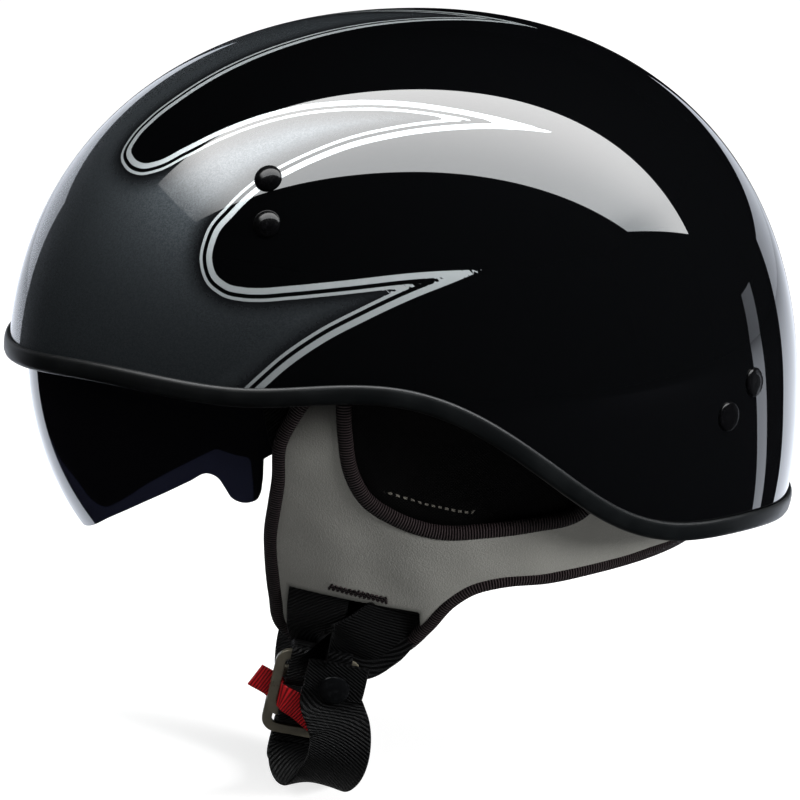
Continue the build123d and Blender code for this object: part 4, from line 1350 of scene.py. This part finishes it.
# The chin strap: one length of webbing sewn to the right junction. It passes under the jaw,
# up behind both rings, round the upper ring's bar and back behind the lower one. Its tail
# curls forwards to a snap on the loop.
upper_bar, lower_bar = -14.95, -23.45
chin_bends = [(-41.5, 45, -131), (-40, 31, -139.5), (-38.5, 16, -144.6)]
tail_places = [
    (0.2, -32.4, -1.9), (1.2, -35.4, -0.2), (3.2, -37.5, 2.5), (6, -38, 5.8), (8.9, -36.2, 9),
    (11.2, -32, 11.7), (12.6, -26, 13.5), (12.6, -18.5, 13.6), (11, -12, 12), (8.6, -8.2, 9.8)]
tail_end = 11
chin_depth = -146.0
snap_place = (6.2, 1.0)
# The stud and its socket stand this high between the loop and the tail
snap_height, snap_gap = 2.5, 0.2
cap_radius = 5.6
cap_profile = [
    (1.9, 0), (5.35, 0), (cap_radius, 0.25), (cap_radius, 0.75), (5.3, 1.15), (4.5, 1.5), (3.2, 1.75),
    (1.6, 1.87), (0, 1.9)]


def threaded_path():
    """Centre of the webbing through both rings, as (up, out) in the buckle's frame."""
    half = ring_bar / 2
    face = ring_face + webbing_thickness / 2
    inner = ring_gap / 2 - fit_gap - webbing_thickness / 2
    between = (upper_bar + lower_bar) / 2
    turn = upper_bar + half + 4 * fit_gap + webbing_thickness / 2
    near = turn - webbing_thickness / 3
    behind = -face - webbing_thickness - fit_gap
    return [
        (lower_bar - 3 * ring_bar, behind - fit_gap), (lower_bar - half, behind),
        (lower_bar + 0.9 * half, behind + fit_gap), (between + half / 2, (behind + inner) / 2),
        (upper_bar, inner), (upper_bar + half / 2, inner - fit_gap), (near, inner + 2 * fit_gap),
        (turn, ring_level), (near, face - 2 * fit_gap), (upper_bar, face),
        (upper_bar - 1.3 * half, face - 3 * fit_gap), (between, 0),
        (lower_bar + 1.2 * half, 3 * fit_gap - face), (lower_bar, -face), (lower_bar - 1.5 * half, -face),
        (lower_bar - 3 * half, -face + webbing_thickness / 2)]


def build_chin_strap():
    low = loop_bottom - ring_height
    heights = [(loop_top, 0), (loop_bottom, 0), ((loop_bottom + low) / 2, 0), (low, -ring_bar)]
    points = [buckle_place(0, *height) * (1, -1, 1) for height in heights]
    points += chin_bends
    points.append((chin_bends[-1][0], 0, chin_depth))
    points += [np.array(place) * (1, -1, 1) for place in reversed(chin_bends)]
    path = threaded_path()
    points += [buckle_place(0, *place) for place in path]
    strap("chin_webbing", points, [buckle_level] * len(points), webbing_width, "chin_strap")
    under_cap = ring_face + webbing_thickness + snap_height + webbing_thickness / 2
    start_up, start_out = path[-1]
    places = [(0, start_up - 0.3, start_out + 0.1), *tail_places]
    places += [(snap_place[0], snap_place[1] + step, under_cap) for step in (-cap_radius, 0, cap_radius)]
    places.append((snap_place[0], tail_end, under_cap))
    points = [buckle_place(*place) for place in places]
    tail = strap("tail_webbing", points, [buckle_level] * len(points), webbing_width, "strap_tail",
                 body=None)
    tuple(buckle_place(0, -34, -2) * MM)
    tuple(buckle_place(5, -26, 10) * MM)
    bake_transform(tail)
    enamel = enamel_finish("black_snap", (0.0025, 0.0027, 0.003))
    dress("snap_stud", enamel)
    dress("snap_socket", enamel)
    cap_seat = buckle_place(*snap_place, ring_face + 2 * webbing_thickness + snap_height + snap_gap)
    cap = turned_piece("snap_button", cap_profile, [(cap_seat, buckle_out)], enamel, "black_snap", "snap")
    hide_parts("snap_cap")


build_chin_strap()

# The pull tab: a short red ribbon looped round the upper ring's side, to open the buckle.
tab_width, tab_thickness = 9.5, 0.8
tab_places = [(-21.7, -3.1), (-14, -6.5), (-4.5, -10.4), (3.4, -15.4)]


def ribbon_finish():
    ribbon = Finish("red_ribbon", Specular_IOR_Level=0.15)
    rib = (ribbon.parts(ribbon.stored("lay", "Vector"))[1] * 5.6).wave()
    nap = ribbon.noise(1600, 2)
    ribbon.colour(rib.step(-0.8, 0.8), (0.1, 0.001, 0.002), (0.4, 0.004, 0.008))
    ribbon.feed("Roughness", 0.45 + 0.2 * nap)
    ribbon.bump(0.5 * rib + 0.3 * nap, 0.0003, 0.8)
    return ribbon.material


def build_tab():
    start, bar, over, end = tab_places
    face = ring_face + webbing_thickness + tab_thickness
    rise = (ring_width / 2 - ring_bar + webbing_width / 2) / 2
    fall = bar[1] + (over[1] - bar[1]) / (over[0] - bar[0]) * (-rise - bar[0])
    places = [(*start, tab_thickness / 2), (*bar, 0), (-rise - 0.8, fall, 0.1), (-rise, fall, 0.9),
              (-rise, fall, face - 0.9), (-rise + 0.8, fall, face), (*over, face), (*end, face)]
    line = smooth_run([buckle_place(*place) for place in places], steps=8)
    tab = make_band("pull_ribbon", line, [buckle_up] * len(line), tab_width, tab_thickness,
                    ribbon_finish(), "red_ribbon", "helmet", cells=8)
    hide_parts("pull_tab")


build_tab()

# The studio: a pale floor and a white surround, one long soft box over the helmet and dark
# cards all round it, as such gloss black things are photographed. The cards and the soft
# box's bright face are seen by reflections alone, so they put no light on the object.
ground = -0.1494
floor_reach = 12.0
all_rays = ("camera", "diffuse", "glossy", "transmission", "volume_scatter", "shadow")
# Side cards as (start and end in degrees round the helmet, apex, height, strength)
side_cards = [(47, 80, 0.12, 0.2, 0.55), (20, 28, 0.1, 0.2, 0.1), (96, 128, -0.14, 0.4, 0.5)]
card_near, card_far = 0.06, 2.4
flag_reach, flag_top, flag_base = 3.0, 1.6, -1
flag_hole = (0.12, 0.08)
# Lamps as (name, place, size, watts, what they aim at)
lamps = [
    ("key", (0.1, -0.4, 1.5), (3.0, 1.2), 52, (0, 0, 0)),
    ("right", (1.8, -0.85, 0.45), (0.5, 0.5), 70, (0, 0, -0.05))]


def studio_finish(name, colour, strength=0.0):
    """Plain surface, or one that glows."""
    return Finish(name, Roughness=0.9, Specular_IOR_Level=0.0, Base_Color=colour, Emission_Color=colour,
                  Emission_Strength=strength).material


def studio_card(name, corners, finish, rays=("glossy",)):
    """Flat card that only these kinds of ray meet."""
    mesh = bpy.data.meshes.new(name)
    mesh.from_pydata(corners, [], [tuple(range(len(corners)))])
    card = bpy.data.objects.new(name, mesh)
    bpy.context.scene.collection.objects.link(card)
    mesh.materials.append(finish)
    for ray in all_rays:
        setattr(card, "visible_" + ray, ray in rays)


def build_floor():
    """Pale floor that is white to the camera, less the object's shadow."""
    floor = Finish("floor", Roughness=0.9, Specular_IOR_Level=0.0, Emission_Strength=1.0)
    floor.colour(floor.noise(1.5, 2), (0.44, 0.44, 0.44), (0.46, 0.46, 0.46))
    seen = floor.node("ShaderNodeLightPath", out="Is Camera Ray")
    floor.feed("Emission Color", floor.blend(seen, (0.0, 0.0, 0.0), (0.78, 0.78, 0.78)))
    corners = [(x * floor_reach, y * floor_reach, ground) for x, y in ((-1, -1), (1, -1), (1, 1), (-1, 1))]
    studio_card("floor", corners, floor.material, all_rays)


def build_soft_box():
    """The long box's face, dimmer towards its near side and its rear, and dark at its front end."""
    box = Finish("soft_box_face", Roughness=0.9, Specular_IOR_Level=0.0, Emission_Strength=13.0)
    along, across, _ = box.parts(box.place())
    fall = along.step(0.1, 2.2) * 0.4 + across.step(0.15, -0.62) * 0.6
    face = box.blend(fall, (1.0, 1.0, 1.0), (0.46, 0.49, 0.51))
    box.feed("Emission Color", box.blend(along.step(-0.9, -1.55) * 0.9, face, (0.0, 0.0, 0.0)))
    corners = [(x, y, 1.2) for x, y in ((-1.55, -0.6), (-1.55, 0.2), (2.9, 0.3), (1.85, -0.62))]
    studio_card("soft_box", corners, box.material)


def build_side_cards():
    """Each card stands up from the far edge of a wedge that lies on the floor."""
    low = ground + 0.001
    for start, end, apex, high, strength in side_cards:
        glow = studio_finish(f"side_card_face_{start}", (0.85, 0.9, 1.0), strength)
        near, far = ([(apex + out * math.cos(a), out * math.sin(a)) for a in np.radians((start, end))]
                     for out in (card_near, card_far))
        standing = [(*far[0], low), (*far[1], low), (*far[1], high), (*far[0], high)]
        studio_card(f"side_card_{start}", standing, glow)
        studio_card(f"floor_card_{start}", [(*place, low) for place in near + far[::-1]], glow)


def build_flags():
    """Dark roof, walls and floor, with a hole under the helmet."""
    dark = studio_finish("flag_cloth", (0.004, 0.004, 0.005))
    low = ground + 0.0005
    turns = np.radians(np.arange(0, 360, 30))
    ring = [(flag_reach * math.cos(a), flag_reach * math.sin(a)) for a in turns]
    hole = [(flag_hole[0] * math.cos(a), flag_hole[1] * math.sin(a)) for a in turns]
    studio_card("flag_roof", [(*place, flag_top) for place in ring], dark)
    for i in range(len(ring)):
        a, b, c, d = ring[i - 1], ring[i], hole[i], hole[i - 1]
        wall = [(*a, flag_base), (*b, flag_base), (*b, flag_top), (*a, flag_top)]
        studio_card(f"flag_wall_{i}", wall, dark)
        studio_card(f"flag_floor_{i}", [(*place, low) for place in (a, b, c, d)], dark)


def build_lamps():
    for name, place, size, power, aim in lamps:
        lamp = bpy.data.lights.new(name, "AREA")
        lamp.shape = "RECTANGLE"
        lamp.size, lamp.size_y = size
        lamp.energy = power
        holder = bpy.data.objects.new(name, lamp)
        holder.location = place
        holder.rotation_euler = (Vector(aim) - Vector(place)).to_track_quat("-Z", "Y").to_euler()
        holder.visible_glossy = False
        bpy.context.scene.collection.objects.link(holder)


def build_world():
    """White to camera, reflection and transmission rays, soft grey as a light."""
    world = bpy.data.worlds.new("studio")
    world.use_nodes = True
    bpy.context.scene.world = world
    nodes = Nodes(world.node_tree)
    path = nodes.node("ShaderNodeLightPath").socket.node
    camera, through, gloss = (Signal(nodes, path.outputs[f"Is {ray} Ray"])
                              for ray in ("Camera", "Transmission", "Glossy"))
    strength = nodes.node("ShaderNodeMapRange", None, {
        "Value": camera.most(through).most(gloss), "To Min": 0.06, "To Max": 1.0})
    back = world.node_tree.nodes["Background"]
    back.inputs["Color"].default_value = (1.0, 1.0, 1.0, 1.0)
    world.node_tree.links.new(strength.socket, back.inputs["Strength"])


def build_camera():
    """Square to the wearer's left side, 14 degrees above the level and 2.5 m off."""
    elevation = math.radians(14)
    distance = 2.5
    photo_side = 800
    pixel = 0.3643 * MM
    lens = bpy.data.cameras.new("camera")
    lens.sensor_width = 36
    lens.lens = lens.sensor_width * distance / (photo_side * pixel)
    camera = bpy.data.objects.new("camera", lens)
    middle = Vector((-5.8 * MM, 0, -5.3 * MM))
    camera.location = middle + distance * Vector((0, -math.cos(elevation), math.sin(elevation)))
    camera.rotation_euler = (math.pi / 2 - elevation, 0, 0)
    bpy.context.scene.collection.objects.link(camera)
    bpy.context.scene.camera = camera
    bpy.context.scene.view_settings.view_transform = "Standard"


build_floor()
build_soft_box()
build_side_cards()
build_flags()
build_lamps()
build_world()
build_camera()
